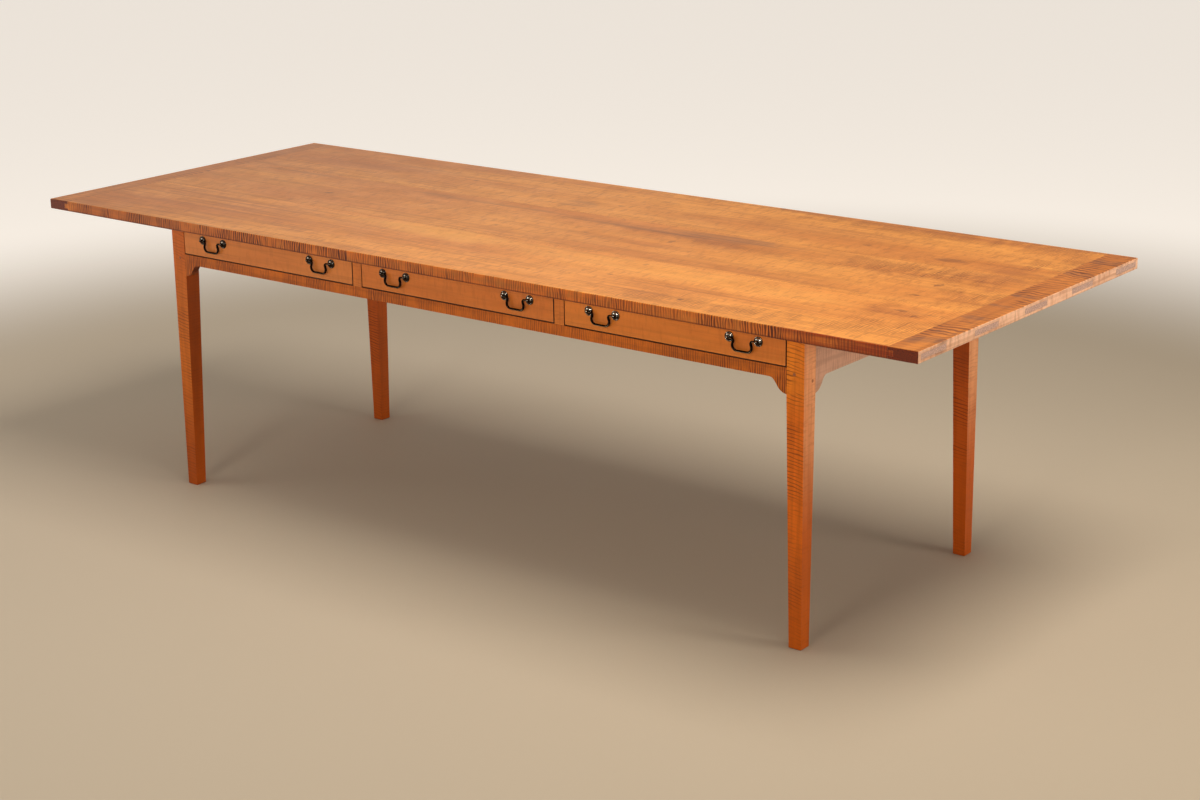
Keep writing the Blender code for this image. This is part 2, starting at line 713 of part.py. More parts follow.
def drawer_back():
    """A drawer back, cut away for the tails of the sides, standing on the bottom."""
    board = box((-DRAWER_HALF_WIDTH, BACK_FACE, BACK_LOW), (DRAWER_HALF_WIDTH, DRAWER_LENGTH, BACK_HIGH))
    return carve(board, tail_sockets(BACK_TAILS, BACK_FACE - GAP, DRAWER_LENGTH + GAP))


# Pulls

def post_profile():
    """Radius and depth of the turned post, from the head's tip to the end of the bolt."""
    neck_angle = pi - asin(NECK_RADIUS / HEAD_RADIUS)
    head_angles = [neck_angle * step / HEAD_STEPS for step in range(HEAD_STEPS + 1)]
    head = [(HEAD_RADIUS * sin(a), -HEAD_STANDOFF - HEAD_RADIUS * cos(a)) for a in head_angles]
    dome_angles = [pi / 2 * step / DOME_STEPS for step in range(DOME_STEPS + 1)]
    dome_width = ROSETTE_RADIUS - NECK_RADIUS
    dome_height = ROSETTE_HEIGHT - ROSETTE_RIM
    dome = [
        (NECK_RADIUS + dome_width * sin(a), -ROSETTE_RIM - dome_height * cos(a)) for a in dome_angles
    ]
    nut_start = FRONT_THICKNESS + GAP
    nut_end = nut_start + NUT_THICKNESS
    return head + dome + [
        (ROSETTE_RADIUS, -GAP),
        (SHANK_RADIUS, -GAP),
        (SHANK_RADIUS, nut_start),
        (NUT_RADIUS, nut_start),
        (NUT_RADIUS, nut_end),
        (SHANK_RADIUS, nut_end),
        (SHANK_RADIUS, nut_end + SHANK_PROJECTION),
        (0.0, nut_end + SHANK_PROJECTION),
    ]


def pull_post():
    """A turned post: knob head with a pivot hole on its +X side, rosette, bolt and nut."""
    shape = bmesh.new()
    verts = [shape.verts.new((radius, depth, 0.0)) for radius, depth in post_profile()]
    edges = [shape.edges.new(pair) for pair in zip(verts, verts[1:])]
    bmesh.ops.spin(
        shape, geom=verts + edges, cent=(0.0, 0.0, 0.0), axis=(0.0, 1.0, 0.0),
        angle=2 * pi, steps=TURNED_SIDES, use_merge=True,
    )
    bmesh.ops.remove_doubles(shape, verts=shape.verts, dist=MERGE_DISTANCE)
    hole = rod(
        (-HEAD_STANDOFF, 0.0), PIVOT_HOLE_RADIUS, "X", PIVOT_HOLE_WALL, HEAD_RADIUS + OVERSHOOT,
    )
    post = carve(mesh_from(shape), [hole])
    post.shade_smooth()
    post.set_sharp_from_angle(angle=SHARP_ANGLE)
    return post


def bend(start, heading, turn, radius, steps):
    """Points of an arc that leaves a point along a heading; a positive turn goes to the left."""
    swing = copysign(radius, turn)
    points = []
    for step in range(1, steps + 1):
        now = heading + turn * step / steps
        across = swing * (sin(now) - sin(heading))
        rise = swing * (cos(heading) - cos(now))
        points.append((start[0] + across, start[1] + rise))
    return points


def bail_half():
    """(x, z, wire radius) of half a bail, from the pivot in its post to the middle of the bar."""
    tip = (POST_SPACING / 2 - PIVOT_HOLE_WALL - GAP, 0.0)
    arm = POST_SPACING / 2 - BAIL_ARM_INSET
    shoulder = (arm + BAIL_SHOULDER_BEND, 0.0)
    inward = pi
    downward = 3 * pi / 2
    outward = downward + BAIL_FLARE
    swan_drop = BAIL_SWAN_BEND * sin(BAIL_FLARE)
    corner = (BAIL_DROP - BAIL_SHOULDER_BEND - swan_drop) / (1 + sin(BAIL_FLARE))
    upper = bend(shoulder, inward, downward - inward, BAIL_SHOULDER_BEND, SHOULDER_STEPS)
    swan = bend(upper[-1], downward, outward - downward, BAIL_SWAN_BEND, SWAN_STEPS)
    lower = bend(swan[-1], outward, inward - outward, corner, CORNER_STEPS)
    half = [(*tip, BAIL_PIVOT_RADIUS), (*shoulder, BAIL_PIVOT_RADIUS)]
    half += [(x, z, BAIL_ARM_RADIUS) for x, z in upper + swan + lower[:-1]]
    half.append((*lower[-1], BAIL_BAR_RADIUS))
    return half


def pull_bail(name):
    """A swan-neck bail hanging from its pivot line, as a round wire of changing thickness."""
    right = bail_half()
    left = [(-x, z, radius) for x, z, radius in reversed(right)]
    path = right + left
    curve = bpy.data.curves.new(name, "CURVE")
    curve.dimensions = "3D"
    curve.bevel_depth = BAIL_ARM_RADIUS
    curve.bevel_resolution = WIRE_SEGMENTS
    curve.use_fill_caps = True
    spline = curve.splines.new("POLY")
    spline.points.add(len(path) - 1)
    for point, (x, z, radius) in zip(spline.points, path):
        point.co = (x, 0.0, z, 1.0)
        point.radius = radius / BAIL_ARM_RADIUS
    return curve


def build_drawers(materials):
    shared = {
        "front": (drawer_front(), "drawer_front"),
        "side_left": (side_in_place(-1), "drawer_box"),
        "side_right": (side_in_place(1), "drawer_box"),
        "back": (drawer_back(), "drawer_box"),
        "bottom": (bottom_panel(), "drawer_box"),
    }
    post = pull_post()
    for index, name in enumerate(DRAWER_NAMES):
        x = (index - DIVIDER_COUNT / 2) * OPENING_PITCH
        drawer = bpy.data.objects.new(f"drawer_{name}_slide", None)
        bpy.context.collection.objects.link(drawer)
        drawer.location = (x, -LEG_FACE_Y, OPENING_BOTTOM)
        for piece, (mesh, finish) in shared.items():
            place(f"drawer_{name}_{piece}", mesh, materials[finish], drawer)
        for pull, pull_name in ((-1, "left"), (1, "right")):
            label = f"drawer_{name}_{pull_name}_pull"
            middle = pull * PULL_OFFSET
            for end, end_name in ((-1, "left"), (1, "right")):
                at = (middle + end * POST_SPACING / 2, 0.0, POST_HEIGHT)
                turn = 0.0 if end < 0 else pi
                place(f"{label}_post_{end_name}", post, materials["brass"], drawer, at, turn)
            pivot = (middle, -HEAD_STANDOFF, POST_HEIGHT)
            place(f"{label}_bail", pull_bail(f"{label}_bail"), materials["brass"], drawer, pivot)


def main():
    clear_scene()
    materials = {
        "top": finish_material("maple_top", (0.50, 0.20, 0.055), 0.30),
        "breadboard": finish_material("maple_breadboard", (0.33, 0.10, 0.030), 0.32),
        "leg": finish_material("maple_leg", (0.47, 0.17, 0.035), 0.35),
        "rail": finish_material("maple_rail", (0.44, 0.15, 0.032), 0.35),
        "apron": finish_material("maple_apron", (0.45, 0.18, 0.055), 0.35),
        "drawer_front": finish_material("maple_drawer_front", (0.46, 0.17, 0.038), 0.33),
        "drawer_box": finish_material("poplar_drawer_box", (0.52, 0.37, 0.19), 0.60),
        "inner_wood": finish_material("poplar_inner_frame", (0.48, 0.34, 0.18), 0.65),
        "brass": finish_material("antiqued_brass", (0.055, 0.048, 0.040), 0.32, 1.0),
    }
    build_top(materials)
    build_legs(materials)
    build_aprons(materials)
    build_runners(materials)
    build_drawers(materials)


main()
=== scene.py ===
"""Looks of the farmhouse dining table: wood, brass, pegs, floor, light and camera."""
from math import asin, copysign, cos, pi, radians, sin

import bmesh
import bpy
from mathutils import Matrix, Vector


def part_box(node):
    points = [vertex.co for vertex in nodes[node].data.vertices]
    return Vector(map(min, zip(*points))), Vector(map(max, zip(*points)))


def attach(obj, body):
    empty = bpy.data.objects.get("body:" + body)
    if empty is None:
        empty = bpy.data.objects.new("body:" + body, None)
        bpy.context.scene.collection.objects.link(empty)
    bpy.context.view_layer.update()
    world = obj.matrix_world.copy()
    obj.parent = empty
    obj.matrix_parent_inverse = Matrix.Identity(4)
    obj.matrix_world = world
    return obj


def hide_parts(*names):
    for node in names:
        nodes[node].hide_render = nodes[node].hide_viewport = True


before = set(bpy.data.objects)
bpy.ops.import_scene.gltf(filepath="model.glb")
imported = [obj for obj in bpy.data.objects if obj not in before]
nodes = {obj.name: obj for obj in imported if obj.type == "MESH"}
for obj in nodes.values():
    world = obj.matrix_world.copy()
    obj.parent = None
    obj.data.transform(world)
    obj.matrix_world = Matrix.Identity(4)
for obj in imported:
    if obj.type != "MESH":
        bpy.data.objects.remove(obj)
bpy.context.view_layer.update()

# Order of the coordinates when a board's grain runs along each axis: along, across, through
GRAIN_ORDER = {"X": ("X", "Y", "Z"), "Y": ("Y", "X", "Z"), "Z": ("Z", "X", "Y")}

# Tones of the wood, as linear colour; those noted below paint light or shade
GOLD = (0.79, 0.312, 0.056)
HONEY = (0.57, 0.190, 0.030)
PALE_GOLD = (0.80, 0.36, 0.070)
BROWN = (0.36, 0.108, 0.022)
HEART = (0.20, 0.080, 0.036)
KNOT = (0.14, 0.045, 0.016)
AMBER = (0.74, 0.165, 0.008)
RUST = (0.56, 0.120, 0.007)
# Painted light on the legs: lit and shaded tones, lighter upwards, and a painted sheen on the end faces
LIT_AMBER = (0.78, 0.164, 0.006)
SHADED_AMBER = (0.64, 0.158, 0.011)
UPPER_LIT_AMBER = (0.86, 0.250, 0.014)
SHEEN_AMBER = (0.80, 0.350, 0.145)
STRIPE = (0.17, 0.030, 0.004)
EDGE = (0.64, 0.150, 0.013)
EDGE_STRIPE = (0.105, 0.016, 0.002)
RAIL = (0.66, 0.165, 0.013)
RAIL_STRIPE = (0.17, 0.030, 0.006)
# Painted shade: the drawer fronts' near-black ends and edge lines, and the dividers' dark sides, stand for
# the gaps' shadow
GAP_SHADE = (0.035, 0.012, 0.006)
INNER_SHADE = (0.080, 0.028, 0.012)
END_GRAIN = (0.175, 0.022, 0.002)
TENON_GREY = (0.54, 0.320, 0.235)
# Painted sheen on the outer end faces of the breadboard ends
END_SHEEN = (0.80, 0.455, 0.275)
BREADBOARD_STRIPE = (0.12, 0.028, 0.008)
EDGE_RUST = (0.30, 0.036, 0.002)
# Painted sheen on the left part of the top's front edge
EDGE_SHEEN = (0.335, 0.096, 0.025)
DIVIDER = (0.72, 0.215, 0.028)
DIVIDER_DARK = (0.62, 0.172, 0.020)
# Painted sheen: the pale tones of the end aprons
APRON_SHEEN = (0.60, 0.335, 0.220)
APRON_SHEEN_DARK = (0.53, 0.280, 0.170)
APRON_SHEEN_STRIPE = (0.32, 0.140, 0.085)
POPLAR = (0.55, 0.40, 0.20)
POPLAR_DARK = (0.44, 0.29, 0.13)
DIM_POPLAR = (0.52, 0.36, 0.17)
DIM_POPLAR_DARK = (0.40, 0.26, 0.12)
PEG_TONE = (0.42, 0.135, 0.036)
PEG_DARK = (0.30, 0.092, 0.026)

# Tones of the brass: the black patina, and the lighter brass painted where the lamps glint, a painted
# highlight
POST_BLACK = (0.022, 0.015, 0.010)
POST_GLINT = (0.62, 0.57, 0.48)
BAIL_BLACK = (0.009, 0.006, 0.004)
BAIL_GLINT = (0.40, 0.34, 0.26)

# Shares of a board's seed by which its figure is shifted across and through the grain
SEED_ACROSS = 0.37
SEED_THROUGH = 0.71
# Half length below which a mark on the top counts as a knot
SMALL_SPOT = 0.05
# How far a mark's outline strays, as shares of its half length and half width
RAGGED_LENGTH = 0.8
RAGGED_WIDTH = 1.2
# Distance below which two places count as one
HAIR = 0.0001
# Width of the painted shade along the bottom and ends of a drawer front, as of the gap around it
GAP_SHADE_WIDTH = 0.0014
# Width and strength of the painted shadow line along the lower arris of the top
ARRIS_SHADOW_WIDTH = 0.0050
ARRIS_SHADOW_STRENGTH = 0.74
# How squarely a face looks along an axis where a tone for such faces starts and where it is full
FACE_TURN = (0.5, 0.9)
END_TURN = (0.55, 0.85)
# Step at which a face begins to count as an outer one
OUTER_STEP = 0.002
# Lowest and highest roughness of the finished maple
MAPLE_ROUGHNESS = (0.28, 0.46)
# Widths by which edges are eased: boards and legs, rails and aprons, dividers
WIDE_EASE = 0.0012
FINE_EASE = 0.0008
THIN_EASE = 0.0006


class Finish:
    """A material that is built up node by node."""

    def __init__(self, name):
        self.material = bpy.data.materials.new(name)
        self.material.use_nodes = True
        self.tree = self.material.node_tree
        self.surface = self.tree.nodes["Principled BSDF"]

    def node(self, kind, inputs, **settings):
        made = self.tree.nodes.new(kind)
        for key, value in settings.items():
            setattr(made, key, value)
        for key, value in inputs.items():
            self.feed(made.inputs[key], value)
        return made

    def feed(self, socket, value):
        if isinstance(value, bpy.types.NodeSocket):
            self.tree.links.new(value, socket)
        else:
            socket.default_value = value

    def set(self, **values):
        """Set the surface's own sockets; an underscore stands for a space."""
        for key, value in values.items():
            self.feed(self.surface.inputs[key.replace("_", " ")], value)

    def math(self, operation, first, second=0.0):
        return self.node("ShaderNodeMath", {0: first, 1: second}, operation=operation).outputs[0]

    def times(self, *values):
        result = values[0]
        for value in values[1:]:
            result = self.math("MULTIPLY", result, value)
        return result

    def plus(self, *values):
        result = values[0]
        for value in values[1:]:
            result = self.math("ADD", result, value)
        return result

    def ease(self, value, low, high):
        """0 below low, 1 above high, smooth between; low may be the larger."""
        made = self.node(
            "ShaderNodeMapRange",
            {"Value": value, "From Min": low, "From Max": high},
            interpolation_type="SMOOTHSTEP",
        )
        return made.outputs[0]

    def span(self, value, low, high):
        """Spread a value from 0 to 1 over low to high."""
        made = self.node("ShaderNodeMapRange", {"Value": value, "To Min": low, "To Max": high})
        return made.outputs[0]

    def mix(self, share, first, second):
        made = self.node("ShaderNodeMix", {0: share}, data_type="RGBA")
        for index, colour in ((6, first), (7, second)):
            if not isinstance(colour, bpy.types.NodeSocket):
                colour = (*colour, 1.0)
            self.feed(made.inputs[index], colour)
        return made.outputs[2]

    def axes(self):
        """X, Y and Z of the point at rest."""
        place = self.node("ShaderNodeTexCoord", {}).outputs["Object"]
        return self.node("ShaderNodeSeparateXYZ", {0: place}).outputs

    def facing(self):
        """How squarely the surface faces along X, Y and Z, each from 0 to 1."""
        normal = self.node("ShaderNodeNewGeometry", {}).outputs["Normal"]
        parts = self.node("ShaderNodeSeparateXYZ", {0: normal}).outputs
        return {axis: self.math("ABSOLUTE", parts[axis]) for axis in "XYZ"}

    def vector(self, x, y, z):
        return self.node("ShaderNodeCombineXYZ", {0: x, 1: y, 2: z}).outputs[0]

    def noise(self, vector, scale, detail=2.0, roughness=0.5, distortion=0.0):
        stretch = self.node("ShaderNodeVectorMath", {0: vector, 1: scale}, operation="MULTIPLY")
        made = self.node("ShaderNodeTexNoise", {
            "Vector": stretch.outputs[0], "Scale": 1.0, "Detail": detail,
            "Roughness": roughness, "Distortion": distortion,
        })
        return made.outputs[0]

    def bump(self, height, strength, distance):
        made = self.node("ShaderNodeBump", {"Height": height, "Strength": strength, "Distance": distance})
        return made.outputs["Normal"]


def shade(colour, share):
    """A darker or lighter version of a tone."""
    return tuple(share * part for part in colour)


def spot(finish, axes, warps, x, y, half_x, half_y):
    """A soft oval on the top with a ragged outline: 1 in its middle, 0 outside."""
    warp = warps["wide"] if half_x > SMALL_SPOT else warps["small"]
    ragged_x = finish.plus(axes["X"], finish.times(warp[0], RAGGED_LENGTH * half_x))
    ragged_y = finish.plus(axes["Y"], finish.times(warp[1], RAGGED_WIDTH * half_y))
    across = finish.times(finish.math("SUBTRACT", ragged_x, x), 1.0 / half_x)
    deep = finish.times(finish.math("SUBTRACT", ragged_y, y), 1.0 / half_y)
    square = finish.plus(finish.times(across, across), finish.times(deep, deep))
    return finish.ease(square, 1.0, 0.05)


def gap_shade_mask(finish, axes, low, high):
    """Where a drawer front takes painted shade, as of the gap around it: 1 along its bottom and its two
    ends, 0 elsewhere.
    """
    half = GAP_SHADE_WIDTH / 2
    ends = finish.math(
        "MAXIMUM",
        finish.ease(axes["X"], low.x + half, low.x),
        finish.ease(axes["X"], high.x - GAP_SHADE_WIDTH, high.x - half),
    )
    return finish.math("MAXIMUM", ends, finish.ease(axes["Z"], low.z + GAP_SHADE_WIDTH, low.z + half))


def grain_point(finish, axes, grain, seed, slant=0.0):
    """The point as (along, across, through) the grain, shifted so that no two boards look alike."""
    along, across, through = (axes[name] for name in GRAIN_ORDER[grain])
    leaning = finish.plus(along, finish.times(across, slant))
    return finish.vector(
        finish.plus(leaning, seed),
        finish.plus(across, SEED_ACROSS * seed),
        finish.plus(through, SEED_THROUGH * seed),
    )


def maple(name, grain, seed, light, dark, stripe, end_tone, faces, pitch=0.010, slant=0.0,
          crest=(-0.35, 0.95), waver=16.0, patchiness=0.5, figure=1.0, flame=0.38, gloss=0.30,
          face_tones=(), upper_tones=(), patches=(), curl_zones=(), rim=None, arris=None):
    """Figured maple: slow tone, growth lines, fine fibres and curl across the grain.

    faces gives the strength of the curl on the faces that look along X, Y and Z, crest how much of
    each wave is dark, waver how far the waves stray, patchiness how far the curl fades in places,
    figure the strength of the lines and blotches, and flame that of the mottling across the grain.
    face_tones are (axis, tone) for faces of another tone. upper_tones are (axis, tone, start, full,
    reach) for faces that take another tone between two heights, where they lie further out than
    reach: painted light and sheen. patches are ovals of another tone, and curl_zones are ovals of
    stronger curl. rim gives the corners of a drawer front whose bottom and ends take painted shade,
    as of the gap around it, and arris the height of a lower edge along which the long faces take a
    painted shadow line.
    """
    wood = Finish(name)
    axes = wood.axes()
    point = grain_point(wood, axes, grain, seed, slant)
    slow = wood.noise(point, (1.3, 7.0, 7.0), 3.0, 0.55)
    blotch = wood.noise(point, (7.0, 16.0, 16.0), 3.0, 0.6)
    rings = wood.noise(point, (0.55, 6.5, 6.5), 1.5, 0.45, 0.25)
    lines = wood.noise(point, (2.2, 70.0, 70.0), 5.0, 0.65, 0.5)
    fibre = wood.noise(point, (26.0, 800.0, 800.0), 2.0, 0.6)
    along = wood.node("ShaderNodeSeparateXYZ", {0: point}).outputs["X"]
    stray = wood.noise(point, (0.30 / pitch, 14.0, 14.0), 2.0, 0.55)
    phase = wood.plus(wood.times(along, 2 * pi / pitch), wood.times(stray, waver))
    cluster = wood.noise(point, (0.16 / pitch, 10.0, 10.0), 2.0, 0.6)
    drift = wood.noise(point, (3.5, 8.0, 8.0), 2.0, 0.5)
    mottle = wood.noise(point, (100.0, 30.0, 30.0), 3.0, 0.6)
    fleck = wood.noise(point, (70.0, 110.0, 110.0), 2.0, 0.6)
    warps = {
        kind: [wood.math("SUBTRACT", wood.times(noise, 2.0), 1.0) for noise in pair]
        for kind, pair in (("wide", (blotch, slow)), ("small", (fleck, mottle)))
    }

    facing = wood.facing()
    shown = wood.plus(*[wood.times(facing[axis], share) for axis, share in zip("XYZ", faces)])
    for x, y, half_x, half_y, strength in curl_zones:
        zone = spot(wood, axes, warps, x, y, half_x, half_y)
        shown = wood.plus(shown, wood.times(zone, facing["Z"], strength))
    mask = wood.span(wood.ease(drift, 0.38, 0.62), 1.0 - patchiness, 1.0)
    wave = wood.ease(wood.math("SINE", phase), *crest)
    curl_share = wood.times(wave, wood.ease(cluster, 0.30, 0.58), shown, mask)

    colour = wood.mix(wood.ease(slow, 0.32, 0.68), light, dark)
    for axis, tone in face_tones:
        colour = wood.mix(wood.ease(facing[axis], *FACE_TURN), colour, tone)
    # Painted light: outer faces take another tone between two heights
    for axis, tone, start, full, reach in upper_tones:
        height = wood.ease(axes["Z"], start, full)
        outer = wood.ease(wood.math("ABSOLUTE", axes[axis]), reach - OUTER_STEP, reach)
        turned = wood.ease(facing[axis], *FACE_TURN)
        colour = wood.mix(wood.times(turned, height, outer), colour, tone)
    ring_wave = wood.math("SINE", wood.times(rings, 70.0))
    colour = wood.mix(wood.times(wood.ease(ring_wave, 0.1, 1.0), 0.16), colour, shade(dark, 0.75))
    colour = wood.mix(wood.times(wood.ease(lines, 0.46, 0.68), 0.50 * figure), colour, shade(dark, 0.62))
    colour = wood.mix(wood.times(wood.ease(blotch, 0.50, 0.72), 0.26 * figure), colour, shade(dark, 0.76))
    colour = wood.mix(wood.times(wood.ease(blotch, 0.48, 0.28), 0.24), colour, shade(light, 1.12))
    colour = wood.mix(wood.times(wood.ease(mottle, 0.49, 0.68), flame), colour, shade(dark, 0.66))
    for x, y, half_x, half_y, strength, tone in patches:
        mark = spot(wood, axes, warps, x, y, half_x, half_y)
        streaks = wood.span(wood.ease(lines, 0.38, 0.62), 0.45, 1.25)
        colour = wood.mix(wood.times(mark, streaks, strength), colour, tone)
    colour = wood.mix(curl_share, colour, stripe)
    # Painted shade along a drawer front's bottom and ends, as of the gap around it
    if rim:
        colour = wood.mix(gap_shade_mask(wood, axes, *rim), colour, GAP_SHADE)
    # Painted shadow line along the lower edge of the long faces
    if arris:
        low = wood.ease(axes["Z"], arris + ARRIS_SHADOW_WIDTH, arris + 0.4 * ARRIS_SHADOW_WIDTH)
        colour = wood.mix(wood.times(low, facing["Y"], ARRIS_SHADOW_STRENGTH), colour, EDGE_STRIPE)
    pores = wood.noise(point, (300.0, 420.0, 420.0), 2.0, 0.6)
    end_colour = wood.mix(wood.ease(pores, 0.40, 0.66), end_tone, shade(end_tone, 0.5))
    colour = wood.mix(wood.ease(facing[grain], *END_TURN), colour, end_colour)
    colour = wood.mix(wood.times(wood.ease(fibre, 0.52, 0.80), 0.14), colour, shade(dark, 0.6))
    wear = wood.plus(wood.times(fibre, 0.5), wood.times(blotch, 0.5))
    relief = wood.plus(wood.times(fibre, 0.5), wood.times(curl_share, 0.5))
    wood.set(
        Base_Color=colour,
        Roughness=wood.span(wear, *MAPLE_ROUGHNESS),
        Specular_IOR_Level=gloss,
        Normal=wood.bump(relief, 0.22, 0.0002),
    )
    return wood.material


def plain_wood(name, grain, seed, light, dark):
    """Unfinished secondary wood, planed and dry."""
    wood = Finish(name)
    point = grain_point(wood, wood.axes(), grain, seed)
    slow = wood.noise(point, (1.5, 9.0, 9.0), 3.0, 0.55)
    lines = wood.noise(point, (2.0, 85.0, 85.0), 5.0, 0.6, 0.5)
    fibre = wood.noise(point, (30.0, 900.0, 900.0), 2.0, 0.6)
    colour = wood.mix(wood.ease(slow, 0.3, 0.7), light, dark)
    colour = wood.mix(wood.times(wood.ease(lines, 0.45, 0.72), 0.45), colour, shade(dark, 0.85))
    colour = wood.mix(wood.times(wood.ease(fibre, 0.5, 0.8), 0.18), colour, shade(dark, 0.5))
    colour = wood.mix(wood.ease(wood.facing()[grain], *END_TURN), colour, shade(dark, 0.6))
    wood.set(
        Base_Color=colour,
        Roughness=wood.span(fibre, 0.55, 0.75),
        Normal=wood.bump(fibre, 0.3, 0.0002),
    )
    return wood.material


# Nodes that give a surface's normal in the world's frame and in the piece's own
WORLD_NORMAL = "ShaderNodeNewGeometry"
OWN_NORMAL = "ShaderNodeTexCoord"
# Cosines of the angle to the glint side where the painted highlight starts and where it is full
GLINT_TURN = (0.85, 0.98)
# X where the painted highlight of the pulls starts to grow and where it is full, and its least share; it
# is brighter towards the right, where the light comes from
GLINT_REACH = (-0.20, 0.55)
LEAST_GLINT = 0.30


def aged_brass(name, dark, glint, normal_source, glint_side):
    """Blackened brass with a painted highlight: lighter on the side that faces along glint_side, most at
    the right.
    """
    metal = Finish(name)
    place = metal.node("ShaderNodeTexCoord", {}).outputs["Object"]
    blotch = metal.noise(place, (70.0, 70.0, 70.0), 3.0, 0.6)
    grit = metal.noise(place, (1100.0, 1100.0, 1100.0), 2.0, 0.6)
    normal = metal.node(normal_source, {}).outputs["Normal"]
    turn = metal.node("ShaderNodeVectorMath", {0: normal, 1: glint_side}, operation="DOT_PRODUCT")
    glinting = metal.ease(turn.outputs["Value"], *GLINT_TURN)
    patchy = metal.span(metal.ease(blotch, 0.38, 0.62), 0.65, 1.0)
    # Painted light: the highlight grows towards the right of the table
    position = metal.node("ShaderNodeNewGeometry", {}).outputs["Position"]
    across = metal.node("ShaderNodeSeparateXYZ", {0: position}).outputs["X"]
    used = metal.span(metal.ease(across, *GLINT_REACH), LEAST_GLINT, 1.0)
    colour = metal.mix(metal.times(glinting, patchy, used), dark, glint)
    wear = metal.plus(metal.times(blotch, 0.6), metal.times(grit, 0.4))
    metal.set(
        Base_Color=colour,
        Metallic=1.0,
        Roughness=metal.span(wear, 0.08, 0.20),
        Normal=metal.bump(grit, 0.05, 0.0001),
    )
    return metal.material


def dress(node_name, material):
    """Give a solid one material."""
    data = nodes[node_name].data
    data.materials.clear()
    data.materials.append(material)


def add_bevel(node_name, width, limit):
    """Round a piece's edges a little; limit says which edges."""
    bevel = nodes[node_name].modifiers.new("ease", "BEVEL")
    bevel.width = width
    bevel.segments = 2
    bevel.limit_method = limit
    bevel.harden_normals = True
    return bevel


def soften(node_name, width):
    """Ease the sharp edges of a piece a little."""
    add_bevel(node_name, width, "ANGLE").angle_limit = radians(50)


def ease_rim(node_name, width):
    """Ease only those edges of a board that lie on the outer rim of the top."""
    mesh = nodes[node_name].data
    x_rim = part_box("breadboard_end_right")[1].x
    y_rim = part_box("top_board_back")[1].y
    weights = mesh.attributes.new("bevel_weight_edge", "FLOAT", "EDGE")
    for edge in mesh.edges:
        first, second = (mesh.vertices[index].co for index in edge.vertices)
        on_end = min(abs(first.x), abs(second.x)) > x_rim - HAIR
        on_side = min(abs(first.y), abs(second.y)) > y_rim - HAIR
        level = abs(first.z - second.z) < HAIR
        weights.data[edge.index].value = float((level and (on_end or on_side)) or (on_end and on_side))
    add_bevel(node_name, width, "WEIGHT")


# Y of the top's front edge
FRONT_EDGE = -0.4945
# Marks on the top's boards: x, y, half length, half width, strength and tone
FRONT_MARKS = (
    (1.18, FRONT_EDGE, 0.21, 0.005, 0.85, EDGE_RUST),
    # Painted sheen along the left of the front edge
    (-0.95, FRONT_EDGE, 0.42, 0.005, 0.50, EDGE_SHEEN),
    (-0.20, -0.215, 0.34, 0.055, 0.60, PALE_GOLD),
    (0.55, -0.245, 0.60, 0.075, 0.35, PALE_GOLD),
    (-0.98, -0.360, 0.70, 0.190, 0.50, BROWN),
    (-0.55, -0.380, 0.16, 0.012, 0.22, HEART),
    (0.12, -0.375, 0.24, 0.070, 0.30, BROWN),
    (0.60, -0.412, 0.24, 0.007, 0.45, BROWN),
    (0.75, -0.345, 0.45, 0.006, 0.40, BROWN),
    (1.125, -0.240, 0.085, 0.050, 0.50, BROWN),
    (1.128, -0.235, 0.020, 0.010, 0.65, KNOT),
    (1.175, -0.258, 0.012, 0.014, 0.65, KNOT),
    (0.422, -0.325, 0.012, 0.008, 0.60, KNOT),
    (0.435, -0.205, 0.008, 0.012, 0.50, KNOT),
    (0.690, -0.422, 0.010, 0.008, 0.60, KNOT),
    (0.175, -0.225, 0.010, 0.018, 0.35, KNOT),
    (-1.12, -0.240, 0.030, 0.010, 0.30, KNOT),
)
MIDDLE_MARKS = (
    (-0.33, 0.126, 0.34, 0.020, 0.38, HEART),
    (0.28, 0.118, 0.42, 0.040, 0.42, HEART),
    (0.42, 0.120, 0.17, 0.050, 0.38, HEART),
    (0.46, 0.070, 0.10, 0.040, 0.40, BROWN),
    (-1.01, 0.152, 0.24, 0.014, 0.25, HEART),
    (-0.955, 0.026, 0.14, 0.012, 0.25, HEART),
    (0.70, -0.140, 0.34, 0.014, 0.45, BROWN),
    (0.32, -0.030, 0.10, 0.026, 0.45, BROWN),
    (1.14, 0.120, 0.14, 0.060, 0.45, BROWN),
    (-0.759, -0.018, 0.018, 0.007, 0.60, KNOT),
    (-0.380, -0.014, 0.014, 0.040, 0.25, KNOT),
    (-0.130, -0.070, 0.010, 0.008, 0.40, KNOT),
    (0.106, -0.011, 0.012, 0.008, 0.55, KNOT),
    (0.343, 0.020, 0.010, 0.018, 0.55, KNOT),
    (1.083, 0.003, 0.012, 0.014, 0.75, KNOT),
    (1.085, -0.103, 0.016, 0.008, 0.75, KNOT),
    (1.170, -0.050, 0.010, 0.018, 0.60, BROWN),
    (1.195, 0.020, 0.010, 0.030, 0.55, BROWN),
)
BACK_MARKS = (
    (-0.115, 0.240, 0.070, 0.050, 0.35, HEART),
    (-0.145, 0.205, 0.016, 0.016, 0.45, KNOT),
    (-0.013, 0.282, 0.012, 0.008, 0.50, KNOT),
    (-0.540, 0.329, 0.012, 0.010, 0.40, KNOT),
    (-0.95, 0.345, 0.30, 0.070, 0.30, BROWN),
    (0.55, 0.320, 0.30, 0.060, 0.35, BROWN),
    (0.746, 0.257, 0.018, 0.012, 0.50, KNOT),
    (0.987, 0.232, 0.060, 0.020, 0.60, KNOT),
    (1.140, 0.225, 0.11, 0.060, 0.55, BROWN),
    (0.830, 0.395, 0.010, 0.016, 0.45, KNOT),
    (1.17, 0.283, 0.10, 0.006, 0.60, PALE_GOLD),
    (0.72, 0.470, 0.62, 0.045, 0.55, BROWN),
)
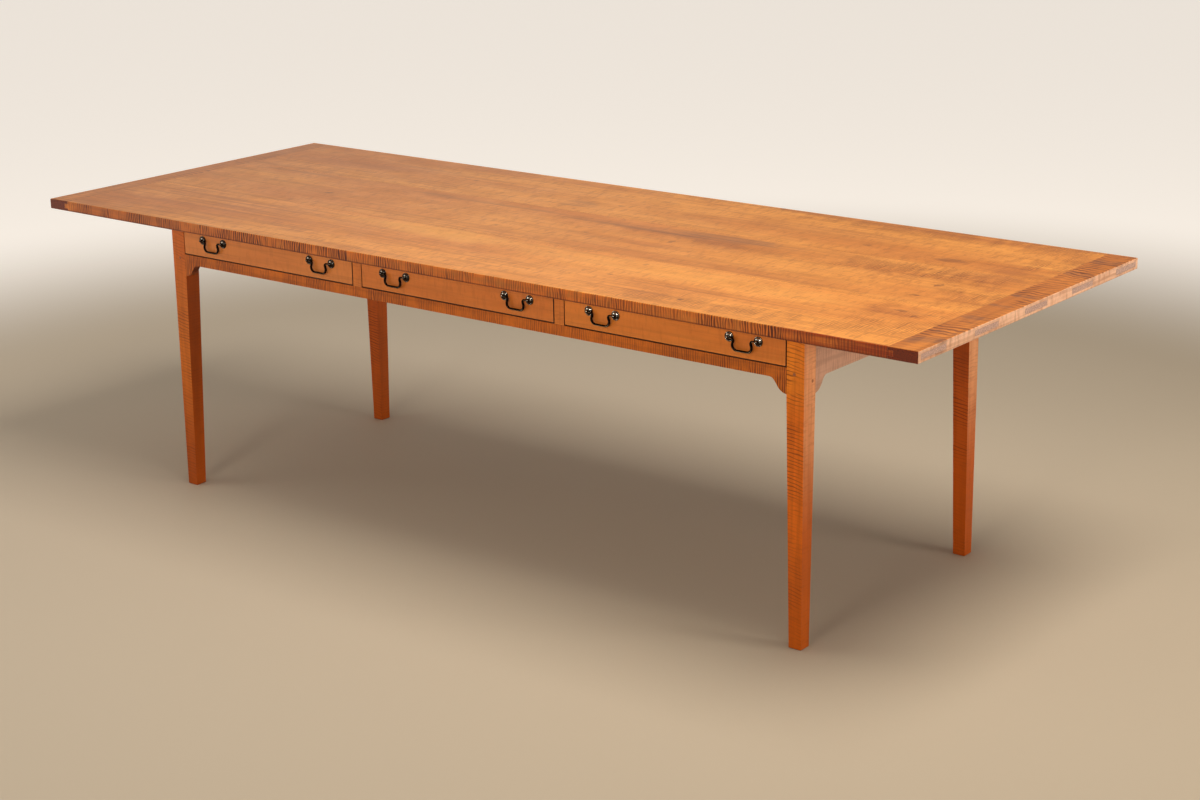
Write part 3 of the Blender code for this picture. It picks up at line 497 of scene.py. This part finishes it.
RIGHT_END_MARKS = (
    (1.290, -0.415, 0.060, 0.035, 0.70, HEART),
    (1.285, -0.335, 0.045, 0.010, 0.70, HEART),
    (1.290, -0.240, 0.030, 0.007, 0.70, KNOT),
    (1.280, -0.200, 0.055, 0.022, 0.55, HEART),
    (1.270, -0.080, 0.055, 0.009, 0.60, HEART),
    (1.285, 0.020, 0.055, 0.012, 0.70, HEART),
    (1.290, 0.130, 0.055, 0.030, 0.35, BROWN),
    (1.280, 0.270, 0.060, 0.026, 0.50, HEART),
    (1.290, 0.410, 0.060, 0.030, 0.55, HEART),
)
# Zones of stronger curl on the top: x, y, half length, half width and strength
FRONT_CURL = (
    (0.85, -0.44, 0.55, 0.060, 0.30), (1.20, -0.30, 0.18, 0.20, 0.30), (-0.10, -0.46, 0.50, 0.030, 0.25),
)
MIDDLE_CURL = (
    (1.00, 0.090, 0.34, 0.090, 0.50), (1.20, -0.05, 0.14, 0.14, 0.35), (0.50, 0.060, 0.20, 0.06, 0.30),
)
BACK_CURL = (
    (0.75, 0.455, 0.65, 0.065, 0.60), (1.18, 0.36, 0.16, 0.14, 0.40), (0.10, 0.470, 0.40, 0.030, 0.30),
)


def dress_top():
    """Finish the three boards and the two breadboard ends."""
    # Board, seed, pitch of the curl, light and dark tone, marks and zones of curl
    boards = (
        ("front", 3.1, 0.0071, GOLD, shade(HONEY, 1.08), FRONT_MARKS, FRONT_CURL),
        ("middle", 8.8, 0.0060, shade(GOLD, 0.90), HONEY, MIDDLE_MARKS, MIDDLE_CURL),
        ("back", 14.5, 0.0060, shade(GOLD, 0.90), HONEY, BACK_MARKS, BACK_CURL),
    )
    for board, seed, pitch, light, dark, marks, curl_zones in boards:
        # Painted shadow line along the lower edge of each board's long faces
        material = maple(
            f"maple_top_{board}", "X", seed, light, dark, EDGE_STRIPE, TENON_GREY,
            faces=(0.0, 1.0, 0.20), pitch=pitch, crest=(-0.8, 0.4), patchiness=0.45,
            figure=0.85, flame=0.54,
            face_tones=(("Y", EDGE),),
            patches=marks, curl_zones=curl_zones,
            arris=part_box(f"top_board_{board}")[0].z,
        )
        dress(f"top_board_{board}", material)
        ease_rim(f"top_board_{board}", WIDE_EASE)
    # Side, seed, light and dark tone and marks
    ends = (
        ("left", 41.3, (0.60, 0.205, 0.034), (0.48, 0.155, 0.024), ()),
        ("right", 49.2, (0.58, 0.190, 0.026), (0.44, 0.130, 0.017), RIGHT_END_MARKS),
    )
    for side, seed, light, dark, marks in ends:
        # Painted sheen on the breadboards' outer end faces
        material = maple(
            f"maple_breadboard_{side}", "Y", seed, light, dark, BREADBOARD_STRIPE, END_GRAIN,
            faces=(0.16, 0.0, 1.0), pitch=0.018, crest=(-0.1, 0.9), patchiness=0.75,
            face_tones=(("X", END_SHEEN),), patches=marks,
        )
        dress(f"breadboard_end_{side}", material)
        ease_rim(f"breadboard_end_{side}", WIDE_EASE)


# Legs: place, seed, light and dark tone, tones of the outer long face and heights of the end face's sheen.
# This is painted light and shade: each leg's tones follow the light that falls on it, the outer long faces
# turn lighter upwards, and the outer end faces take a painted sheen between the two heights.
LEGS = (
    ("front_left", 12.7, (0.51, 0.091, 0.003), (0.41, 0.072, 0.003),
     SHADED_AMBER, EDGE, (0.28, 0.62)),
    ("front_right", 16.0, (0.58, 0.108, 0.003), (0.47, 0.087, 0.003),
     LIT_AMBER, UPPER_LIT_AMBER, (0.24, 0.60)),
    ("back_left", 19.3, (0.58, 0.103, 0.004), (0.47, 0.082, 0.004),
     AMBER, UPPER_LIT_AMBER, (0.14, 0.52)),
    ("back_right", 22.6, (0.66, 0.113, 0.003), (0.54, 0.091, 0.003),
     AMBER, UPPER_LIT_AMBER, (0.19, 0.52)),
)
# Heights between which a leg's outer long face turns to its middle tone and to its upper tone: painted
# light that makes it lighter upwards
LEG_MIDDLE = (0.05, 0.38)
LEG_UPPER = (0.50, 0.64)
# Distances from the middle beyond which a leg's face is an outer one
LEG_OUTER_X = 0.978
LEG_OUTER_Y = 0.375


def dress_frame():
    """Finish the legs, rails, dividers, aprons and the poplar pieces inside."""
    for place, seed, light, dark, middle_tone, upper_tone, sheen_heights in LEGS:
        # Painted light: outer long faces lighter upwards, and a painted sheen on the outer end faces
        material = maple(
            f"maple_leg_{place}", "Z", seed, light, dark, STRIPE, END_GRAIN,
            faces=(0.20, 0.80, 0.0), pitch=0.0085, crest=(0.45, 1.0), slant=0.15, waver=12.0,
            patchiness=0.85, figure=0.6, flame=0.25, gloss=0.22,
            upper_tones=(
                ("Y", middle_tone, *LEG_MIDDLE, LEG_OUTER_Y),
                ("Y", upper_tone, *LEG_UPPER, LEG_OUTER_Y),
                ("X", SHEEN_AMBER, *sheen_heights, LEG_OUTER_X),
            ),
        )
        dress(f"leg_{place}", material)
        soften(f"leg_{place}", WIDE_EASE)
    for index, rail in enumerate(("front_lower_rail", "front_top_rail")):
        # Painted shade on the rails' upper and lower faces, as in the gaps by the drawers
        material = maple(
            f"maple_{rail}", "X", 23.9 + 4.1 * index, RAIL, shade(RAIL, 0.85), RAIL_STRIPE, END_GRAIN,
            faces=(0.0, 0.90, 0.3), pitch=0.0060, crest=(-0.6, 0.6), patchiness=0.5, gloss=0.22,
            face_tones=(("Z", shade(RAIL, 0.45)),),
        )
        dress(rail, material)
        soften(rail, FINE_EASE)
    for index, side in enumerate(("left", "right")):
        # Painted shade on the dividers' sides, which face the gaps by the drawers
        material = maple(
            f"maple_divider_{side}", "Z", 31.7 + 2.9 * index, DIVIDER, DIVIDER_DARK,
            RAIL_STRIPE, END_GRAIN, faces=(0.2, 0.2, 0.0), pitch=0.009, face_tones=(("X", INNER_SHADE),),
        )
        dress(f"divider_{side}", material)
        soften(f"divider_{side}", THIN_EASE)
    back = maple(
        "maple_back_apron", "X", 53.3, AMBER, RUST, RAIL_STRIPE, END_GRAIN,
        faces=(0.0, 0.50, 0.2), pitch=0.010, patchiness=0.7,
    )
    dress("back_apron", back)
    soften("back_apron", FINE_EASE)
    for index, side in enumerate(("left", "right")):
        # Painted sheen: pale tones on the end aprons
        material = maple(
            f"maple_end_apron_{side}", "Y", 61.1 + 3.7 * index, APRON_SHEEN, APRON_SHEEN_DARK,
            APRON_SHEEN_STRIPE, END_GRAIN, faces=(0.55, 0.0, 0.2), pitch=0.0085, patchiness=0.4,
        )
        dress(f"end_apron_{side}", material)
        soften(f"end_apron_{side}", FINE_EASE)
    inner = plain_wood("poplar_inner_frame", "Y", 5.0, DIM_POPLAR, DIM_POPLAR_DARK)
    for kind in ("runner", "kicker"):
        for row in ("end", "middle"):
            for side in ("left", "right"):
                dress(f"{row}_{kind}_{side}", inner)


def dress_drawers():
    """Finish the drawers: maple fronts, poplar sides, backs and bottoms."""
    side_wood = plain_wood("poplar_drawer_side", "Y", 15.0, POPLAR, POPLAR_DARK)
    cross_wood = plain_wood("poplar_drawer_back", "X", 25.0, POPLAR, POPLAR_DARK)
    # Drawer, seed, light and dark tone
    fronts = (
        ("left", 71.9, (0.75, 0.255, 0.051), (0.67, 0.207, 0.039)),
        ("middle", 78.0, (0.74, 0.225, 0.034), (0.65, 0.182, 0.025)),
        ("right", 84.1, (0.80, 0.255, 0.034), (0.72, 0.205, 0.024)),
    )
    for drawer, seed, light, dark in fronts:
        # Painted shade: near-black ends, and a dark line along the bottom and ends, as in the gap around
        # the front
        material = maple(
            f"maple_drawer_front_{drawer}", "X", seed, light, dark,
            RUST, GAP_SHADE, faces=(0.0, 0.16, 0.14), pitch=0.012, patchiness=0.9,
            figure=0.7, flame=0.26, rim=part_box(f"drawer_{drawer}_front"),
        )
        dress(f"drawer_{drawer}_front", material)
        soften(f"drawer_{drawer}_front", FINE_EASE)
        for side in ("left", "right"):
            dress(f"drawer_{drawer}_side_{side}", side_wood)
        dress(f"drawer_{drawer}_back", cross_wood)
        dress(f"drawer_{drawer}_bottom", cross_wood)


# Pulls, drawn finer than the solids they stand for
POST_SPACING = 0.076
HEAD_STANDOFF = 0.0075
HEAD_RADIUS = 0.0044
NECK_RADIUS = 0.0034
ROSETTE_RADIUS = 0.0113
FRONT_THICKNESS = 0.020
SHANK_RADIUS = 0.0024
PIVOT_RADIUS = 0.0019
PIVOT_TIP = 0.0008
GAP = 0.0003
ARM_INSET = 0.015
BAIL_DROP = 0.0265
SHOULDER_BEND = 0.0045
SWAN_BEND = 0.014
ARM_RADIUS = 0.0031
BAR_RADIUS = 0.0026
FLARE = radians(24)
ROUND_STEPS = 40
HEAD_STEPS = 14
DOME_STEPS = 12
BEAD_STEPS = 8
SHOULDER_STEPS = 10
SWAN_STEPS = 8
CORNER_STEPS = 16
DOME_START = 0.10
DOME_INSET = 0.0022
DOME_HEIGHT = 0.0027
DOME_BASE = -0.0018
BEAD_WIDTH = 0.0012
BEAD_HEIGHT = 0.0011
NUT_THICKNESS = 0.0035
NUT_RADIUS = 0.0048
NUT_SIDES = 6
NUT_FRONT_EASE = 0.0002
NUT_BACK_EASE = 0.0005
NUT_EASE_LENGTH = 0.0003
THREAD_BITE = 0.0004
BOLT_PROUD = 0.0020
BOLT_CHAMFER = 0.0006
WASHER_RADIUS = 0.0052
WASHER_EDGE = 0.0007
WASHER_THICKNESS = 0.0008
HOLE_START = 0.0005
HOLE_END = 0.0100
HOLE_SIDES = 24
# Distance below which turned points are merged, and angle beyond which an edge stays sharp
MERGE_DISTANCE = 0.00002
SHARP_ANGLE = radians(38)


def lathe(shape, profile, steps):
    """Turn a profile of (radius, y) points about the Y axis."""
    verts = [shape.verts.new((radius, y, 0.0)) for radius, y in profile]
    edges = [shape.edges.new(pair) for pair in zip(verts, verts[1:])]
    bmesh.ops.spin(
        shape, geom=verts + edges, cent=(0.0, 0.0, 0.0), axis=(0.0, 1.0, 0.0),
        angle=2 * pi, steps=steps, use_merge=True,
    )


def turned_mesh(name, profiles):
    """A mesh of profiles turned about the Y axis, each with its own number of sides."""
    shape = bmesh.new()
    for profile, steps in profiles:
        lathe(shape, profile, steps)
    bmesh.ops.remove_doubles(shape, verts=shape.verts, dist=MERGE_DISTANCE)
    bmesh.ops.recalc_face_normals(shape, faces=shape.faces)
    mesh = bpy.data.meshes.new(name)
    shape.to_mesh(mesh)
    shape.free()
    mesh.shade_smooth()
    mesh.set_sharp_from_angle(angle=SHARP_ANGLE)
    return mesh


def arc(centre, radii, start, end, steps):
    """Points of an ellipse in (radius, y), from one angle to another."""
    angles = [start + (end - start) * step / steps for step in range(steps + 1)]
    return [(centre[0] + radii[0] * sin(a), centre[1] - radii[1] * cos(a)) for a in angles]


def post_mesh():
    """A turned post with a ball head, a collar, a moulded rosette and a hex nut inside the drawer."""
    neck_angle = pi - asin(NECK_RADIUS / HEAD_RADIUS)
    head = arc((0.0, -HEAD_STANDOFF), (HEAD_RADIUS, HEAD_RADIUS), 0.0, neck_angle, HEAD_STEPS)
    dome_width = ROSETTE_RADIUS - DOME_INSET - NECK_RADIUS
    dome = arc((NECK_RADIUS, DOME_BASE), (dome_width, DOME_HEIGHT), DOME_START, pi / 2, DOME_STEPS)
    bead_centre = (ROSETTE_RADIUS - BEAD_WIDTH, -BEAD_WIDTH)
    bead = arc(bead_centre, (BEAD_WIDTH, BEAD_HEIGHT), -pi / 2, pi / 2, BEAD_STEPS)
    nut_start = FRONT_THICKNESS + GAP
    nut_end = nut_start + NUT_THICKNESS
    bolt_end = nut_end + BOLT_PROUD
    shank = [
        (ROSETTE_RADIUS, -GAP), (SHANK_RADIUS, -GAP), (SHANK_RADIUS, bolt_end - BOLT_CHAMFER),
        (SHANK_RADIUS - BOLT_CHAMFER, bolt_end), (0.0, bolt_end),
    ]
    bore = SHANK_RADIUS - THREAD_BITE
    washer_end = nut_start + WASHER_THICKNESS
    washer = [
        (bore, nut_start), (WASHER_RADIUS, nut_start), (WASHER_RADIUS, nut_start + WASHER_EDGE),
        (bore, washer_end),
    ]
    nut = [
        (bore, washer_end), (NUT_RADIUS - NUT_FRONT_EASE, washer_end),
        (NUT_RADIUS, washer_end + NUT_EASE_LENGTH), (NUT_RADIUS, nut_end - NUT_EASE_LENGTH),
        (NUT_RADIUS - NUT_BACK_EASE, nut_end), (bore, nut_end),
    ]
    profiles = ((head + dome + bead + shank, ROUND_STEPS), (washer, ROUND_STEPS), (nut, NUT_SIDES))
    return turned_mesh("pull_post", profiles)


def bend(start, heading, turn, radius, steps):
    """Points of an arc that leaves a point along a heading; a positive turn goes to the left."""
    swing = copysign(radius, turn)
    points = []
    for step in range(1, steps + 1):
        now = heading + turn * step / steps
        x = start[0] + swing * (sin(now) - sin(heading))
        z = start[1] + swing * (cos(heading) - cos(now))
        points.append((x, z))
    return points


def bail_mesh():
    """A swan-neck bail of round wire, fuller in its arms and thinner along its bar."""
    tip = (POST_SPACING / 2 - PIVOT_TIP, 0.0)
    shoulder = (POST_SPACING / 2 - ARM_INSET + SHOULDER_BEND, 0.0)
    inward = pi
    downward = 3 * pi / 2
    outward = downward + FLARE
    corner = (BAIL_DROP - SHOULDER_BEND - SWAN_BEND * sin(FLARE)) / (1 + sin(FLARE))
    upper = bend(shoulder, inward, downward - inward, SHOULDER_BEND, SHOULDER_STEPS)
    swan = bend(upper[-1], downward, outward - downward, SWAN_BEND, SWAN_STEPS)
    lower = bend(swan[-1], outward, inward - outward, corner, CORNER_STEPS)
    swell = ARM_RADIUS - PIVOT_RADIUS
    thinning = ARM_RADIUS - BAR_RADIUS
    path = [(*tip, PIVOT_RADIUS), (*shoulder, PIVOT_RADIUS)]
    path += [(*point, PIVOT_RADIUS + swell * (step + 1) / len(upper)) for step, point in enumerate(upper)]
    path += [(*point, ARM_RADIUS) for point in swan]
    path += [(*point, ARM_RADIUS - thinning * (step + 1) / len(lower)) for step, point in enumerate(lower)]
    path += [(0.0, -BAIL_DROP, BAR_RADIUS)]
    path += [(-x, z, radius) for x, z, radius in reversed(path[:-1])]
    curve = bpy.data.curves.new("bail_path", "CURVE")
    curve.dimensions = "3D"
    curve.bevel_depth = 1.0
    curve.bevel_resolution = 8
    curve.use_fill_caps = True
    spline = curve.splines.new("POLY")
    spline.points.add(len(path) - 1)
    for point, (x, z, radius) in zip(spline.points, path):
        point.co = (x, 0.0, z, 1.0)
        point.radius = radius
    mesh = evaluated_mesh(bpy.data.objects.new("bail_path", curve))
    mesh.shade_smooth()
    return mesh


def evaluated_mesh(piece, helpers=()):
    """The mesh an object comes to; the object and its helpers are used up."""
    used = (piece, *helpers)
    for item in used:
        bpy.context.collection.objects.link(item)
    view = bpy.context.evaluated_depsgraph_get()
    mesh = bpy.data.meshes.new_from_object(piece.evaluated_get(view))
    for item in used:
        bpy.data.objects.remove(item)
    return mesh


def drilled_post():
    """A post with the hole in its head that the bail turns in."""
    post = bpy.data.objects.new("post", post_mesh())
    hole = PIVOT_RADIUS + GAP
    profile = [(0.0, HOLE_START), (hole, HOLE_START), (hole, HOLE_END), (0.0, HOLE_END)]
    drill = bpy.data.objects.new("drill", turned_mesh("drill", ((profile, HOLE_SIDES),)))
    drill.matrix_world = Matrix.Translation((0.0, -HEAD_STANDOFF, 0.0)) @ Matrix.Rotation(-pi / 2, 4, "Z")
    cut = post.modifiers.new("cut", "BOOLEAN")
    cut.operation = "DIFFERENCE"
    cut.solver = "EXACT"
    cut.object = drill
    return evaluated_mesh(post, (drill,))


def stand_in(name, mesh, body, node_name, place, turn=0.0):
    """Show a finer mesh in place of a solid, on the same body."""
    piece = bpy.data.objects.new(name, mesh)
    bpy.context.collection.objects.link(piece)
    piece.matrix_world = Matrix.Translation(place) @ Matrix.Rotation(turn, 4, "Y")
    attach(piece, body)
    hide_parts(node_name)


# Directions in which the painted highlights on the posts and the bails face
POST_GLINT_SIDE = (0.15, -0.90, 0.41)
BAIL_GLINT_SIDE = (0.0, -0.85, -0.53)


def add_pulls():
    """Show fine pulls in place of the solids: one bail and two posts each."""
    post = drilled_post()
    bail = bail_mesh()
    # A post is turned over at one end of its bail, so its painted highlight goes by the world's frame
    post_brass = aged_brass("antiqued_brass", POST_BLACK, POST_GLINT, WORLD_NORMAL, POST_GLINT_SIDE)
    bail_brass = aged_brass("blackened_brass", BAIL_BLACK, BAIL_GLINT, OWN_NORMAL, BAIL_GLINT_SIDE)
    for mesh, brass in ((post, post_brass), (bail, bail_brass)):
        mesh.materials.clear()
        mesh.materials.append(brass)
    for drawer in ("left", "middle", "right"):
        for pull in ("left", "right"):
            label = f"drawer_{drawer}_{pull}"
            low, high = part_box(f"{label}_pull_bail")
            x = (low.x + high.x) / 2
            y = (low.y + high.y) / 2
            post_low, post_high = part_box(f"{label}_pull_post_left")
            z = (post_low.z + post_high.z) / 2
            stand_in(f"{label}_bail_wire", bail, f"{label}_bail", f"{label}_pull_bail", (x, y, z))
            for side, end, turn in ((-1, "left", 0.0), (1, "right", pi)):
                place = (x + side * POST_SPACING / 2, y + HEAD_STANDOFF, z)
                node_name = f"{label}_pull_post_{end}"
                stand_in(f"{label}_post_{end}", post, f"drawer_{drawer}", node_name, place, turn)


# Pegs that pin the tenons of the rails in the legs
PEG_RADIUS = 0.0038
PEG_PROUD = 0.0004
PEG_LENGTH = 0.010
PEG_SIDES = 10
LONG_PEG_INSET = 0.025
LONG_PEG_HEIGHT = 0.627
CROSS_PEG_INSET = 0.033
CROSS_PEG_HEIGHT = 0.6095


def peg_mesh():
    """A whittled peg: many-sided, its end eased and slightly domed; it points along -Y."""
    profile = [
        (0.0, -PEG_PROUD), (0.6 * PEG_RADIUS, -0.8 * PEG_PROUD), (0.9 * PEG_RADIUS, -0.4 * PEG_PROUD),
        (PEG_RADIUS, 0.0), (0.95 * PEG_RADIUS, PEG_LENGTH), (0.0, PEG_LENGTH),
    ]
    return turned_mesh("peg", ((profile, PEG_SIDES),))


def add_pegs():
    """Set two pegs in each leg: one for its long rail, one for its end apron."""
    mesh = peg_mesh()
    mesh.materials.append(plain_wood("dark_peg", "Z", 3.0, PEG_TONE, PEG_DARK))
    for depth, side_y in (("front", -1), ("back", 1)):
        for side, side_x in (("left", -1), ("right", 1)):
            low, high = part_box(f"leg_{depth}_{side}")
            face_x = high.x if side_x > 0 else low.x
            face_y = high.y if side_y > 0 else low.y
            long_place = (face_x - side_x * LONG_PEG_INSET, face_y, LONG_PEG_HEIGHT)
            cross_place = (face_x, face_y - side_y * CROSS_PEG_INSET, CROSS_PEG_HEIGHT)
            long_turn = 0.0 if side_y < 0 else pi
            cross_turn = side_x * pi / 2
            for kind, place, turn in (("long", long_place, long_turn), ("cross", cross_place, cross_turn)):
                peg = bpy.data.objects.new(f"peg_{depth}_{side}_{kind}", mesh)
                bpy.context.collection.objects.link(peg)
                peg.matrix_world = Matrix.Translation(place) @ Matrix.Rotation(turn, 4, "Z")
                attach(peg, "frame")


# Floor: half its side, distances over which it turns into the pale far part, X range and tones.
# Painted light: it is lighter at the left than at the right, and its far part is paler and glows, though
# it is no lamp.
FLOOR_HALF = 30.0
FLOOR_SWEEP = (2.3, 4.2)
FLOOR_SIDES = (-2.6, 2.6)
FLOOR_LIT_LEFT = (0.60, 0.51, 0.395)
FLOOR_SHADED_RIGHT = (0.41, 0.334, 0.242)
FLOOR_FAR = (0.52, 0.48, 0.43)
FLOOR_GLOW = (1.0, 0.93, 0.85, 1.0)
FLOOR_GLOW_STRENGTH = 0.66


def add_floor():
    """A floor with painted light: lighter at the left than the right, pale and glowing far from the table.
    """
    mesh = bpy.data.meshes.new("floor")
    corners = [(x * FLOOR_HALF, y * FLOOR_HALF, 0) for x, y in ((-1, -1), (1, -1), (1, 1), (-1, 1))]
    mesh.from_pydata(corners, [], [(0, 1, 2, 3)])
    floor = bpy.data.objects.new("floor", mesh)
    bpy.context.collection.objects.link(floor)
    paint = Finish("pale_floor")
    axes = paint.axes()
    square = paint.plus(paint.times(axes["X"], axes["X"]), paint.times(axes["Y"], axes["Y"]))
    sweep = paint.ease(paint.math("SQRT", square), *FLOOR_SWEEP)
    near = paint.mix(paint.ease(axes["X"], *FLOOR_SIDES), FLOOR_LIT_LEFT, FLOOR_SHADED_RIGHT)
    paint.set(
        Base_Color=paint.mix(sweep, near, FLOOR_FAR),
        Emission_Color=FLOOR_GLOW,
        Emission_Strength=paint.times(sweep, FLOOR_GLOW_STRENGTH),
        Roughness=0.75,
    )
    mesh.materials.append(paint.material)


# Room: its own tone, the tone and direction of its bright side, and the cosines of the angle to that
# direction where the bright side starts and where it is full
ROOM_TONE = (0.28, 0.262, 0.24, 1.0)
BRIGHT_TONE = (0.88, 0.83, 0.77, 1.0)
BRIGHT_DIRECTION = (-0.70, 0.70, 0.12)
BRIGHT_START = 0.965
BRIGHT_FULL = 0.997

# Lamps: name, place, target, size, power and spread
LAMP_TINT = (1.0, 0.94, 0.85)
LAMPS = (
    ("overhead", (1.8, -0.2, 3.9), (0.9, -0.1, 0.7), (2.4, 1.8), 138.0, pi),
    ("overhead_left", (-2.0, -1.4, 3.6), (-0.9, -0.2, 0.5), (1.8, 1.8), 16.0, pi),
    ("low_right", (4.4, 0.7, 1.25), (0.95, 0.0, 0.62), (1.2, 0.7), 12.1, radians(90)),
    ("softbox_left", (-5.4, -4.6, 1.5), (-0.6, -0.4, 0.6), (2.2, 1.6), 52.0, pi),
    ("front_fill", (1.5, -6.4, 2.7), (0.0, 0.0, 0.6), (1.3, 0.6), 82.0, pi),
)


def add_light(name, place, target, size, power, spread):
    """A soft lamp at a place, aimed at a target."""
    data = bpy.data.lights.new(name, "AREA")
    data.shape = "RECTANGLE"
    data.size, data.size_y = size
    data.energy = power
    data.spread = spread
    data.color = LAMP_TINT
    lamp = bpy.data.objects.new(name, data)
    bpy.context.collection.objects.link(lamp)
    lamp.location = place
    lamp.visible_camera = False
    aim = Vector(target) - Vector(place)
    lamp.rotation_euler = aim.to_track_quat("-Z", "Y").to_euler()


def add_room():
    """An even, dim room that is brighter on the side behind the table."""
    world = bpy.data.worlds.new("soft_room")
    bpy.context.scene.world = world
    world.use_nodes = True
    background = world.node_tree.nodes["Background"]
    background.inputs["Strength"].default_value = 1.0
    air = world.node_tree
    direction = air.nodes.new("ShaderNodeTexCoord").outputs["Generated"]
    toward = air.nodes.new("ShaderNodeVectorMath")
    toward.operation = "DOT_PRODUCT"
    toward.inputs[1].default_value = BRIGHT_DIRECTION
    spread = air.nodes.new("ShaderNodeMapRange")
    spread.interpolation_type = "SMOOTHSTEP"
    spread.inputs["From Min"].default_value = BRIGHT_START
    spread.inputs["From Max"].default_value = BRIGHT_FULL
    blend = air.nodes.new("ShaderNodeMix")
    blend.data_type = "RGBA"
    blend.inputs[6].default_value = ROOM_TONE
    blend.inputs[7].default_value = BRIGHT_TONE
    air.links.new(direction, toward.inputs[0])
    air.links.new(toward.outputs["Value"], spread.inputs["Value"])
    air.links.new(spread.outputs[0], blend.inputs[0])
    air.links.new(blend.outputs[2], background.inputs["Color"])


# The photograph's own viewpoint, found from the table's corners and feet
CAMERA_PLACE = (3.51602, -4.30718, 1.97578)
CAMERA_YAW = 0.66557
CAMERA_PITCH = 0.29105
CAMERA_ROLL = -0.01395
SENSOR_WIDTH = 36.0
LENS = 68.76


def add_camera():
    """A camera at the photograph's viewpoint."""
    yaw, pitch, roll = CAMERA_YAW, CAMERA_PITCH, CAMERA_ROLL
    forward = Vector((-sin(yaw) * cos(pitch), cos(yaw) * cos(pitch), -sin(pitch)))
    level = Vector((cos(yaw), sin(yaw), 0.0))
    upright = level.cross(forward)
    right = cos(roll) * level + sin(roll) * upright
    up = cos(roll) * upright - sin(roll) * level
    data = bpy.data.cameras.new("camera")
    data.sensor_width = SENSOR_WIDTH
    data.lens = LENS
    camera = bpy.data.objects.new("camera", data)
    bpy.context.collection.objects.link(camera)
    turned = Matrix((right, up, -forward)).transposed().to_4x4()
    camera.matrix_world = Matrix.Translation(CAMERA_PLACE) @ turned
    bpy.context.scene.camera = camera


bpy.context.scene.view_settings.view_transform = "Standard"
dress_top()
dress_frame()
dress_drawers()
add_pulls()
add_pegs()
add_floor()
add_room()
for lamp in LAMPS:
    add_light(*lamp)
add_camera()
